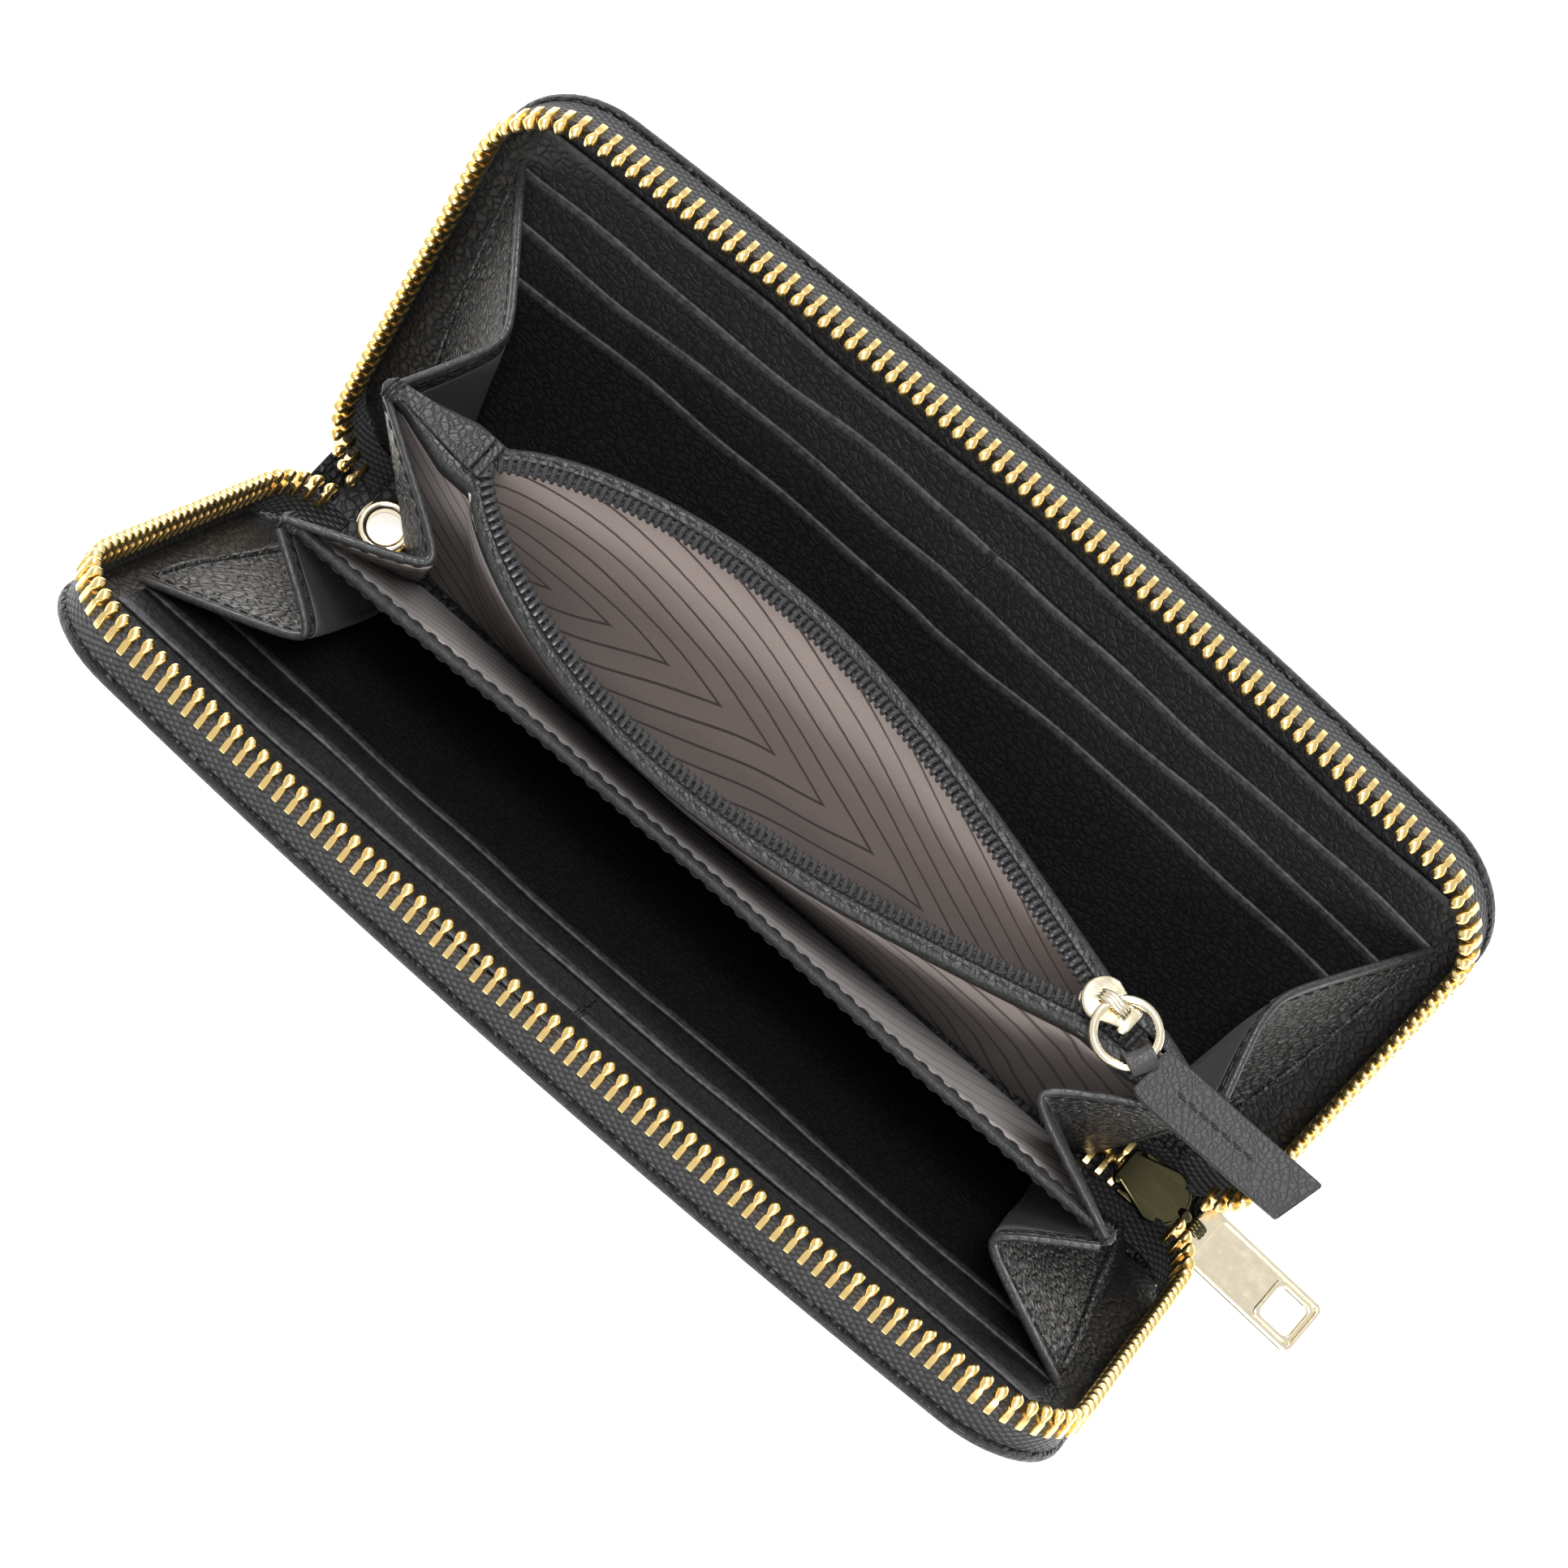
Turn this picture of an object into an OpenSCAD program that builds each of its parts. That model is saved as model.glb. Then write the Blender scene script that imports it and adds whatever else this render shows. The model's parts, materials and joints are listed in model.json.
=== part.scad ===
// Zip-around wallet, standing open on its spine.
// X runs along the spine, Y from the front cover to the back cover, Z up.
// The origin is the middle of the face that the spine stands on.

/* [Covers] */
// Length of a cover along the spine
length = 190; // [160:1:220]
// Height of a cover, from its fold to its top edge
cover_h = 88; // [75:1:110]
// Radius of the top corners
corner_r = 16; // [12:1:22]
// Width of the spine, which is the thickness of the closed wallet
spine_w = 21; // [19:0.5:26]
// How far the back cover leans from upright when the wallet is open
back_lean = 28; // [20:0.5:40]
// How far the front cover leans from upright when the wallet is open
front_lean = 35.5; // [20:0.5:40]
// Thickness of the cover leather
leather_t = 1.2; // [0.8:0.1:1.6]
// Thickness of the board inside a cover
board_t = 0.8; // [0.5:0.1:1.2]
// Thickness of the cloth lining
lining_t = 0.5; // [0.3:0.1:0.6]

/* [Zip] */
// Width of the leather strip at the edge of a cover, before the tape
edge_w = 2; // [1.5:0.1:3]
// Distance from one tooth to the next
tooth_pitch = 2.54; // [2:0.01:3.5]
// Thickness of the zip tape
tape_t = 0.7; // [0.4:0.1:1]
// How far a tooth reaches from the edge of its tape
tooth_reach = 3.3; // [2.5:0.1:3.6]

/* [Card slots] */
// Height of the slip pocket's top edge above the fold
slip_h = 78; // [65:1:80]
// Distance from one card row's top edge to the next
row_step = 8.5; // [6:0.5:10]
// Thickness of a pocket sheet
sheet_t = 0.6; // [0.4:0.1:0.7]

/* [Coin pocket and divider] */
// Height of the coin pocket's top edge
pocket_h = 76; // [60:1:80]
// Half the width of the coin pocket's open mouth at its widest
mouth_half = 14; // [4:0.5:15]
// How far the divider leans towards the front when the wallet is open
divider_lean = 18; // [8:0.5:22]

/* [Pulls] */
// Length of the main slider's pull, from its pivot to its tip
pull_l = 24; // [18:1:35]
// Width of the main slider's pull
pull_w = 9.4; // [8:0.2:12]
// Length of the coin slider's leather pull
strap_l = 29; // [20:1:36]
// Width of the coin slider's leather pull
strap_w = 8.4; // [6:0.2:9]
// Radius of the hole in the strap eyelet
eyelet_r = 3; // [2:0.1:3.4]

/* [Hidden] */
$fn = 48;

black = [0.07, 0.07, 0.075];
black_cloth = [0.05, 0.05, 0.055];
taupe = [0.42, 0.36, 0.34];
brass = [0.83, 0.66, 0.34];
pale_gold = [0.86, 0.78, 0.6];

half_l = length / 2;
half_s = spine_w / 2;
gap = 0.3;

// spine
spine_t = 1.5;
spine_half = half_l - 6;
spine_edge = half_s - 0.4;
floor_z = spine_t + 0.6;
eyelet_x = -77.5;
barrel_r = eyelet_r + 0.4;
flange_r = eyelet_r + 1.2;
running = 0.05;

// covers, in the cover's own plane: x along, h up from the fold, d inwards from the outer face
foot_h = 1.9;
foot_r = 7;
track_foot = 12;
board_inset = 3;
tape_in = 0.95;
tape_end = 6.95;
tape_half = half_l - tape_in;
tape_top = cover_h - tape_in;
tape_r = corner_r - tape_in;
tooth_w = 1.25;
tooth_t = 2.4;
board_d = leather_t;
lining_d = board_d + board_t;
slip_d = lining_d + lining_t;
row_foot = 12;
slip_foot = 8;
pocket_side_foot = 64;
pocket_side_slope = 0.29;

// gussets, whose folds fan out from just above the spine to their top points
gusset_t = 1.3;
fold_z = 6;
fold_h = 5.5;
fold_x = [74, 88];
fold_top_h = [69.5, 62];
fold_out = gusset_t + 1.2;

// coin pocket: both walls stand on the spine and stand apart at the top, where the zip's tapes
// bridge from the walls to the coils
pocket_c = -1.9;
pocket_foot_z = floor_z + gap;
pocket_foot = 68.5;
pocket_top = 78;
wall_top = pocket_h - 1;
mouth_end = 58.5;
mouth_skew = 0.756;
band = 3.2;
band_run = 16;
wall_steps = 32;
coin_lining_out = 0.3;
coin_lining_t = 0.3;
coin_wall_out = 1.1;
coin_wall_t = 0.9;
coin_lining_top = pocket_h - 6;
coin_tape_z = pocket_h - 0.8;
coin_tape_t = 0.4;
coil_w = 1.3;
tape_from = 5;
tape_to = 27;

// coin slider, ring and pull
coin_x = 59;
coin_z = pocket_h + 0.9;
arch_in = 2;
arch_out = 2.9;
arch_w = 2;
ring_r = 4.8;
ring_wire = 0.75;
ring_swing = 25;
coin_axis_z = coin_z + 1.7 + arch_in - ring_wire - 0.2;
strap_t = 1.4;
strap_loop_r = 2;
strap_bore_r = 1.2;
strap_neck_w = 3.2;

// divider
divider_y = -3.8;
divider_z = 3;
divider_h = 70.5;
divider_foot = 66;
divider_top = 77;
panel_t = 0.7;
panel_lining_t = 0.4;
binding_w = 3;

// main slider and pull
slider_x = 82;
slider_l = 12.4;
slider_w = 9.6;
slider_z = floor_z + 0.4;
slider_gap = 2.6;
plate_t = 1;
pivot_x = 90.4;
pivot_z = 4.4;
bail_in = 1.15;
bail_out = 2.3;
bail_w = 2.4;
crossbar_r = 0.95;
pull_t = 1.7;
pull_droop = asin((pivot_z - pull_t / 2) / pull_l);
window = 6.4;
window_edge = 1.5;

// ---------- helpers ----------

// Puts children, drawn in a cover's own plane, on the back cover (1) or the front cover (-1)
module on_cover(side) {
    mirror([0, side < 0 ? 1 : 0, 0])
        translate([0, half_s, 0])
            rotate([side < 0 ? -front_lean : -back_lean, 0, 0])
                children();
}

// A flat layer of a cover, from depth d to d + t, with a 2D outline in x and h
module layer(d, t) {
    translate([0, -d, 0])
        rotate([90, 0, 0])
            linear_extrude(t)
                children();
}

// Outline of a cover, drawn in by an inset, with round corners at the top and the foot
module outline(inset = 0, foot = foot_h) {
    w = half_l - inset;
    r = max(corner_r - inset, 1);
    b = max(foot_r - inset, 1);
    top = cover_h - inset;
    difference() {
        union() {
            translate([-w + r, foot])
                square([2 * (w - r), top - foot]);
            translate([-w, foot + b])
                square([2 * w, top - r - foot - b]);
            for (m = [-1, 1])
                translate([m * (w - r), top - r])
                    circle(r);
            for (m = [-1, 1])
                translate([m * (w - b), foot + b])
                    circle(b);
        }
        translate([-length, -cover_h])
            square([2 * length, cover_h + foot]);
    }
}

// A closed thin solid between two surfaces f(u, v) and g(u, v), with u and v from 0 to 1
module skin(f, g, nu, nv) {
    n = (nu + 1) * (nv + 1);
    points = [
        for (k = [0, 1])
            for (j = [0:nv])
                for (i = [0:nu])
                    k == 0 ? f(i / nu, j / nv) : g(i / nu, j / nv)
    ];
    a = f(0.4, 0.4);
    out = cross(f(0.5, 0.4) - a, f(0.4, 0.5) - a) * (g(0.4, 0.4) - a) > 0;
    edge = [
        for (i = [0:nu - 1]) i,
        for (j = [0:nv - 1]) j * (nu + 1) + nu,
        for (i = [nu:-1:1]) nv * (nu + 1) + i,
        for (j = [nv:-1:1]) j * (nu + 1)
    ];
    count = len(edge);
    near = [
        for (j = [0:nv - 1])
            for (i = [0:nu - 1])
                let (p = j * (nu + 1) + i, q = p + nu + 1)
                    each [[p, p + 1, q + 1], [p, q + 1, q]]
    ];
    sides = [
        for (k = [0:count - 1])
            let (p = edge[k], q = edge[(k + 1) % count])
                each [[q, p, p + n], [q, p + n, q + n]]
    ];
    far = [for (t = near) [t[0] + n, t[2] + n, t[1] + n]];
    all = concat(near, sides, far);
    polyhedron(points, out ? all : [for (t = all) [t[0], t[2], t[1]]]);
}

// Place and direction of the tooth track of a cover, at a distance s along it: [x, h, angle]
track_side = tape_top - tape_r - track_foot;
track_arc = PI * tape_r / 2;
track_top = 2 * (tape_half - tape_r);
track_l = 2 * (track_side + track_arc) + track_top;
function turn(s) = (s - track_side) / tape_r * 180 / PI;
function track(s) =
    s > track_l / 2 ? let (p = track(track_l - s)) [-p[0], p[1], -p[2]]
    : s < track_side ? [-tape_half, track_foot + s, 90]
    : s < track_side + track_arc
        ? [-tape_half + tape_r * (1 - cos(turn(s))), tape_top - tape_r * (1 - sin(turn(s))),
           90 - turn(s)]
    : [-tape_half + tape_r + s - track_side - track_arc, tape_top, 0];

// ---------- spine ----------

module spine_leather() {
    color(black)
        difference() {
            translate([-spine_half, -spine_edge, 0])
                cube([2 * spine_half, 2 * spine_edge, spine_t]);
            translate([eyelet_x, 0, -1])
                cylinder(r = barrel_r + running, h = spine_t + 2);
            translate([eyelet_x, 0, -1])
                cylinder(r = flange_r + running, h = 1.45);
        }
}

module spine_lining() {
    color(black_cloth)
        difference() {
            translate([-spine_half + 2, -spine_edge + 1, spine_t])
                cube([2 * spine_half - 4, 2 * spine_edge - 2, floor_z - spine_t]);
            translate([eyelet_x, 0, 0])
                cylinder(r = barrel_r + running, h = floor_z + 2);
        }
}

module strap_eyelet() {
    color(pale_gold)
        translate([eyelet_x, 0, 0])
            rotate_extrude()
                polygon([
                    [eyelet_r, 0], [flange_r, 0], [flange_r, 0.4], [barrel_r, 0.4],
                    [barrel_r, floor_z + 0.02], [flange_r, floor_z + 0.02],
                    [flange_r, floor_z + 0.5], [eyelet_r, floor_z + 0.5]
                ]);
}

// ---------- covers ----------

module cover_leather(side) {
    color(black)
        on_cover(side) {
            layer(0, leather_t)
                outline();
            layer(leather_t, edge_w - leather_t)
                difference() {
                    outline();
                    outline(0.6, -1);
                    translate([-length, 0])
                        square([2 * length, track_foot]);
                }
        }
}

module cover_board(side) {
    color("dimgray")
        on_cover(side)
            layer(board_d, board_t)
                outline(board_inset, 4);
}

module cover_lining(side) {
    color(black)
        on_cover(side)
            layer(lining_d, lining_t)
                outline(board_inset, 4);
}

module zip_tape(side) {
    color(black_cloth)
        on_cover(side)
            layer(edge_w, tape_end - edge_w)
                difference() {
                    outline(tape_in - tape_t / 2, -1);
                    outline(tape_in + tape_t / 2, -2);
                    translate([-length, -2])
                        square([2 * length, track_foot + 2]);
                }
}

// The front row's teeth stand half a pitch along from the back row's
module zip_teeth(side) {
    first = side > 0 ? 0.25 : 0.75;
    color(brass)
        on_cover(side)
            for (k = [0:floor(track_l / tooth_pitch) - 1]) {
                p = track((k + first) * tooth_pitch);
                translate([p[0], -tape_end - tooth_reach / 2, p[1]])
                    rotate([0, -p[2], 0])
                        cube([tooth_w, tooth_reach, tooth_t], center = true);
            }
}

// Half the width of a pocket at a height, which leaves room for the gusset's edge
function pocket_side(h) = pocket_side_foot + pocket_side_slope * h;

module pocket_outline(foot, top) {
    polygon([
        [-pocket_side(foot), foot], [pocket_side(foot), foot],
        [pocket_side(top), top], [-pocket_side(top), top]
    ]);
}

module slip_pocket(side) {
    color(black)
        on_cover(side)
            layer(slip_d, sheet_t)
                pocket_outline(slip_foot, slip_h);
}

// Card rows 1 to 3 step down from the slip pocket, each in front of the last
module card_row(side, k) {
    color(black)
        on_cover(side)
            layer(slip_d + k * sheet_t, sheet_t)
                pocket_outline(row_foot, slip_h - k * row_step);
}

// ---------- gussets ----------

// A point on a cover in the frame, from its x, its height h and its depth d
function cover_point(side, x, h, d) =
    let (a = side > 0 ? back_lean : front_lean)
    [x, side * (half_s + h * sin(a) - d * cos(a)), h * cos(a) + d * sin(a)];

// The edge of a gusset that is sewn to a cover, from its foot to its top
function cover_line(side) =
    let (top = side > 0 ? fold_top_h[0] : fold_top_h[1])
    [cover_point(side, fold_x[0], fold_h, slip_d + gap),
     cover_point(side, fold_x[1], top, slip_d + gap)];

// The edge that is sewn to the coin pocket or to the divider, at y from foot to top
function pocket_line(y) =
    [[pocket_foot + fold_out + 0.5, y[0], fold_z], [pocket_top + fold_out, y[1], pocket_h - 0.5]];
function divider_line(y) =
    [[divider_foot + fold_out + 0.3, y[0], fold_z], [divider_top + fold_out, y[1], 70.2]];

// The three gussets of an end, each with two edges and the valley between them
gussets = [
    [cover_line(1), [[68.5, 6, fold_z], [73, 16.8, 70]], pocket_line([0.5, -1.6])],
    [pocket_line([-2.4, -4.2]), [[67.2, -3.3, fold_z], [55, -17, 74]], divider_line([-4.8, -24.2])],
    [divider_line([-5.6, -27]), [[64, -7.5, fold_z], [63, -36, 67]], cover_line(-1)]
];

function fold_point(end, k, u, v) =
    let (line = gussets[k][round(2 * u)], p = line[0] * (1 - v) + line[1] * v)
    [end * p[0], p[1], p[2]];

// A gusset is one V of leather: 0 at the back, 1 in the middle, 2 at the front
module gusset(end, k) {
    color(black)
        skin(
            function(u, v) fold_point(end, k, u, v),
            function(u, v) fold_point(end, k, u, v) + [-end * gusset_t, 0, 0],
            2, 1
        );
}

// ---------- coin pocket ----------

// Half the width of the pocket at a height
function pocket_half(z) =
    pocket_foot + (pocket_top - pocket_foot) * (z - pocket_foot_z) / (pocket_h - pocket_foot_z);

// How far open the mouth is along x, from 0 to 1
function lens(x) =
    abs(x) >= mouth_end ? 0
    : sin(180 * pow((x + mouth_end) / (2 * mouth_end), mouth_skew));

function pocket_y(side, x, z, out) =
    let (share = (z - pocket_foot_z) / (pocket_h - pocket_foot_z))
    pocket_c * share + side * (out + mouth_half * lens(x) * share);

// A point of a wall, which stands a band further out than the coil at the top
function wall_point(side, u, z, out) =
    let (half = pocket_half(z), x = half * (2 * u - 1),
         share = (z - pocket_foot_z) / (pocket_h - pocket_foot_z))
    [x, pocket_y(side, x, z, out + share * band * min(1, (half - abs(x)) / band_run)), z];

// An upright sheet of the pocket, from the foot to the height top
module pocket_sheet(side, top, out, t) {
    skin(
        function(u, v) wall_point(side, u, pocket_foot_z + (top - pocket_foot_z) * v, out),
        function(u, v) wall_point(side, u, pocket_foot_z + (top - pocket_foot_z) * v, out + t),
        wall_steps, 1
    );
}

// A flat strip along the mouth, from out to out + w and from z to z + t
module mouth_strip(side, out, w, z, t) {
    from = tape_from / wall_steps;
    to = tape_to / wall_steps;
    skin(
        function(u, v) strip_point(side, from + (to - from) * u, out + w * v, z),
        function(u, v) strip_point(side, from + (to - from) * u, out + w * v, z + t),
        tape_to - tape_from, 1
    );
}

function strip_point(side, u, out, z) =
    let (x = pocket_top * (2 * u - 1))
    [x, pocket_y(side, x, pocket_h, out), z];

module coin_wall(side) {
    color(side > 0 ? black : taupe)
        pocket_sheet(side, wall_top, coin_wall_out, coin_wall_t);
}

module coin_lining(side) {
    color(taupe)
        pocket_sheet(side, coin_lining_top, coin_lining_out, coin_lining_t);
}

// The tape runs from under the coil to over the wall's top edge
module coin_tape(side) {
    color(black_cloth)
        mouth_strip(side, 0.6, band + 1.2, coin_tape_z, coin_tape_t);
}

module coin_coil(side) {
    color(black_cloth)
        mouth_strip(side, 0.1, coil_w, coin_tape_z + coin_tape_t, coil_w);
}

module coin_end_patch() {
    color(black)
        translate([-mouth_end - 12, pocket_c - 4, wall_top + 0.1])
            cube([15, 8, 0.9]);
}

// ---------- coin slider, its ring and its leather pull ----------

// Outline of a slider's plate: a round head and a body that narrows a little
module plate(l, w) {
    intersection() {
        translate([-l / 2, -w / 2])
            square([l, w]);
        union() {
            translate([-l / 2 + w / 2, 0])
                circle(w / 2);
            polygon([
                [-l / 2 + w / 2, -w / 2], [l / 2, -w * 0.38], [l / 2, w * 0.38],
                [-l / 2 + w / 2, w / 2]
            ]);
        }
    }
}

module coin_slider() {
    color(pale_gold) {
        translate([coin_x, pocket_c, coin_z - 2.8]) {
            linear_extrude(0.8)
                plate(9, 7);
            translate([2.4, -1, 0])
                cube([1.6, 2, 3.6]);
            translate([0, 0, 3.4])
                linear_extrude(1.1)
                    plate(9, 7);
        }
        // the bail, an arch that the ring runs through
        translate([coin_x, pocket_c, coin_z + 1.7])
            rotate([90, 0, 0])
                translate([0, 0, -arch_w / 2])
                    linear_extrude(arch_w)
                        intersection() {
                            difference() {
                                circle(arch_out);
                                circle(arch_in);
                            }
                            translate([-arch_out, 0])
                                square([2 * arch_out, arch_out]);
                        }
    }
}

// The ring and the pull lie swung towards the front, about the middle of the bail
module on_bail() {
    translate([coin_x, pocket_c, coin_axis_z])
        rotate([0, 0, -ring_swing])
            children();
}

module coin_ring() {
    color(pale_gold)
        on_bail()
            translate([ring_r, 0, 0])
                rotate_extrude()
                    translate([ring_r, 0])
                        circle(ring_wire);
}

// The strip of leather turns back to lie along the pocket, past a loop that holds the ring
module coin_pull() {
    color([0.2, 0.2, 0.205])
        on_bail()
            translate([2 * ring_r, 0, 0]) {
                difference() {
                    rotate([90, 0, 0])
                        translate([0, 0, -strap_neck_w / 2])
                            cylinder(r = strap_loop_r, h = strap_neck_w);
                    rotate([90, 0, 0])
                        translate([0, 0, -strap_neck_w])
                            cylinder(r = strap_bore_r, h = 2 * strap_neck_w);
                }
                translate([strap_loop_r - 0.3, 0, -strap_t / 2])
                    rotate([0, 0, ring_swing])
                        linear_extrude(strap_t)
                            polygon([
                                [0, -strap_neck_w / 2], [2.2, -strap_w / 2],
                                [strap_l - 3, -strap_w / 2], [strap_l - 1, strap_w / 2],
                                [2.2, strap_w / 2], [0, strap_neck_w / 2]
                            ]);
            }
}

// ---------- divider ----------

// Puts children on the divider, which hinges at its foot
module on_divider() {
    translate([0, divider_y, divider_z])
        rotate([divider_lean, 0, 0])
            children();
}

module divider_outline() {
    top = divider_h - binding_w;
    polygon([
        [-divider_foot, 0.8], [divider_foot, 0.8], [divider_top, top], [-divider_top, top]
    ]);
}

module divider_panel() {
    color(black)
        on_divider()
            layer(0, panel_t)
                divider_outline();
}

module divider_lining() {
    color(taupe)
        on_divider()
            layer(-panel_lining_t, panel_lining_t)
                divider_outline();
}

module divider_binding() {
    color(black)
        on_divider()
            translate([-divider_top, -panel_t, divider_h - binding_w])
                cube([2 * divider_top, panel_t + panel_lining_t, binding_w]);
}

// ---------- main zip at the spine ----------

// The rows run down to the spine at the left end, and into the slider at the right end
function end_turn(end) = end < 0 ? 88 : 45;

// A row's tape at the end of the spine bends down from the cover and lies flat: t from 0 at
// the cover to 90 at the spine, d across the tape and in towards the inside of the bend
function end_point(end, side, t, d, in) =
    let (a = (side > 0 ? back_lean : front_lean) * cos(t), h = track_foot * (1 - sin(t)),
         x = tape_half - 12 * (1 - cos(t)))
    [end * (x - in * cos(t)),
     side * (half_s + h * sin(a) - d * cos(a)),
     h * cos(a) + d * sin(a) + (floor_z + gap) * sin(t) + in * sin(t)];

function end_tape_point(end, side, u, v, in) =
    end_point(end, side, 4 + (end_turn(end) - 4) * v, edge_w + (tape_end - edge_w) * u, in);

module zip_end_tape(end) {
    color(black_cloth)
        for (side = [-1, 1])
            skin(
                function(u, v) end_tape_point(end, side, u, v, -tape_t / 2),
                function(u, v) end_tape_point(end, side, u, v, tape_t / 2),
                1, 6
            );
}

module zip_end_teeth(end) {
    teeth = end < 0 ? 7 : 4;
    color(brass)
        for (side = [-1, 1])
            for (k = [0:teeth - 1]) {
                t = (k + 0.5 + (side > 0 ? 0 : 0.25)) * (end_turn(end) + 2) / teeth;
                translate(end_point(end, side, t, tape_end + tooth_reach * 0.42, gap + 0.1))
                    rotate([0, end * (90 - t), 0])
                        cube([tooth_w, 2, tooth_w], center = true);
            }
}

// The joined teeth that run on inside, between the end of the zip and the coin pocket
module zip_chain(end) {
    from = end > 0 ? 75.6 : 73.1;
    pairs = floor((from - pocket_foot - 0.5) / tooth_pitch);
    color(brass)
        for (k = [0:pairs - 1])
            for (side = [-1, 1])
                translate([
                    end * (from - (k + 0.5 + side * 0.22) * tooth_pitch),
                    side * 0.7, floor_z + 1.1
                ])
                    cube([1, 3.6, 1.6], center = true);
}

module main_slider() {
    color(pale_gold) {
        translate([slider_x, 0, slider_z])
            rotate([0, 0, 180])
                union() {
                    linear_extrude(plate_t)
                        plate(slider_l, slider_w);
                    translate([-slider_l / 2 + 0.6, -1.1, 0])
                        cube([2.6, 2.2, 2 * plate_t + slider_gap]);
                    translate([0, 0, plate_t + slider_gap])
                        linear_extrude(plate_t)
                            plate(slider_l, slider_w);
                }
        // the bail, an arch at the outer end that holds the pull's crossbar
        translate([pivot_x, bail_w / 2, pivot_z])
            rotate([90, 0, 0])
                linear_extrude(bail_w)
                    difference() {
                        union() {
                            circle(bail_out);
                            translate([slider_x + slider_l / 2 - pivot_x - 0.6, -bail_out])
                                square([pivot_x - slider_x - slider_l / 2 + 0.6, 2 * bail_out]);
                        }
                        circle(bail_in);
                    }
    }
}

module main_pull() {
    color(pale_gold)
        translate([pivot_x, 0, pivot_z])
            rotate([0, pull_droop, 0]) {
                difference() {
                    translate([0, -pull_w / 2, -pull_t / 2])
                        cube([pull_l, pull_w, pull_t]);
                    // slot for the bail
                    translate([-1, -bail_w / 2 - gap, -pull_t])
                        cube([1 + bail_out + gap, bail_w + 2 * gap, 2 * pull_t]);
                    // square window near the tip
                    translate([pull_l - window - window_edge, -window / 2, -pull_t])
                        cube([window, window, 2 * pull_t]);
                }
                rotate([90, 0, 0])
                    translate([0, 0, -pull_w / 2])
                        cylinder(r = crossbar_r, h = pull_w);
            }
}

spine_leather();
spine_lining();
strap_eyelet();
main_slider();
main_pull();
zip_chain(-1);  // zip_chain_left
zip_chain(1);  // zip_chain_right
zip_end_tape(-1);  // zip_end_tape_left
zip_end_tape(1);  // zip_end_tape_right
zip_end_teeth(-1);  // zip_end_teeth_left
zip_end_teeth(1);  // zip_end_teeth_right
cover_leather(1);  // back_cover_leather
cover_board(1);  // back_cover_board
cover_lining(1);  // back_cover_lining
zip_tape(1);  // back_zip_tape
zip_teeth(1);  // back_zip_teeth
slip_pocket(1);  // back_slip_pocket
card_row(1, 1);  // back_card_row_1
card_row(1, 2);  // back_card_row_2
card_row(1, 3);  // back_card_row_3
cover_leather(-1);  // front_cover_leather
cover_board(-1);  // front_cover_board
cover_lining(-1);  // front_cover_lining
zip_tape(-1);  // front_zip_tape
zip_teeth(-1);  // front_zip_teeth
slip_pocket(-1);  // front_slip_pocket
card_row(-1, 1);  // front_card_row_1
card_row(-1, 2);  // front_card_row_2
card_row(-1, 3);  // front_card_row_3
gusset(-1, 0);  // gusset_back_left
gusset(-1, 1);  // gusset_middle_left
gusset(-1, 2);  // gusset_front_left
gusset(1, 0);  // gusset_back_right
gusset(1, 1);  // gusset_middle_right
gusset(1, 2);  // gusset_front_right
coin_wall(1);  // coin_wall_back
coin_wall(-1);  // coin_wall_front
coin_lining(1);  // coin_lining_back
coin_lining(-1);  // coin_lining_front
coin_tape(1);  // coin_tape_back
coin_tape(-1);  // coin_tape_front
coin_coil(1);  // coin_coil_back
coin_coil(-1);  // coin_coil_front
coin_end_patch();
coin_slider();
coin_ring();
coin_pull();
divider_panel();
divider_lining();
divider_binding();
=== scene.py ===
"""Looks of the zip-around wallet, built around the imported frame. Shapes are worked out in mm."""

import json
import math

import bmesh
import bpy
import numpy as np
from mathutils import Matrix


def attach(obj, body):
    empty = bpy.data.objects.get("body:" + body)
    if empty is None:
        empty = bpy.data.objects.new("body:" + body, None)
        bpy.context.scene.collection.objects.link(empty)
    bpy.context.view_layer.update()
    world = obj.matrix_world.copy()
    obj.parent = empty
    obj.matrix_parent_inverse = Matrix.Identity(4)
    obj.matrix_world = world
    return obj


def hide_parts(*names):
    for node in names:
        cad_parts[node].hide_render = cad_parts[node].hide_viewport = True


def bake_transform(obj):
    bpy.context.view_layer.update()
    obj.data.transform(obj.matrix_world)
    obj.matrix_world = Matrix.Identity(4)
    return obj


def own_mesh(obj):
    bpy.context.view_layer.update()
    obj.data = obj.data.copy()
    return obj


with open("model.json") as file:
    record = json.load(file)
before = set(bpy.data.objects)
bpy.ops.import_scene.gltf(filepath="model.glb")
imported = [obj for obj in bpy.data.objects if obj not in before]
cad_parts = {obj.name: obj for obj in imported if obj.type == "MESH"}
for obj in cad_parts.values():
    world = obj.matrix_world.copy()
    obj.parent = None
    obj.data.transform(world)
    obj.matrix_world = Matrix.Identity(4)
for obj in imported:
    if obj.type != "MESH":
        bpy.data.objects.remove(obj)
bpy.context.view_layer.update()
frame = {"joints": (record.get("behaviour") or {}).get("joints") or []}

MM = 0.001
RANGE = {j["name"]: j["range_deg"][1] for j in frame["joints"] if "range_deg" in j}
BACK, FRONT = 1, -1
NAMES = {BACK: "back", FRONT: "front"}
BODY = {BACK: "back_cover", FRONT: "front_cover"}
LEAN = {
    BACK: math.radians(RANGE["back_cover_hinge"]),
    FRONT: math.radians(RANGE["front_cover_hinge"]),
}
BOW = {BACK: 5.0, FRONT: 2.8}  # how far a cover bows out in the middle of its top edge

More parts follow.
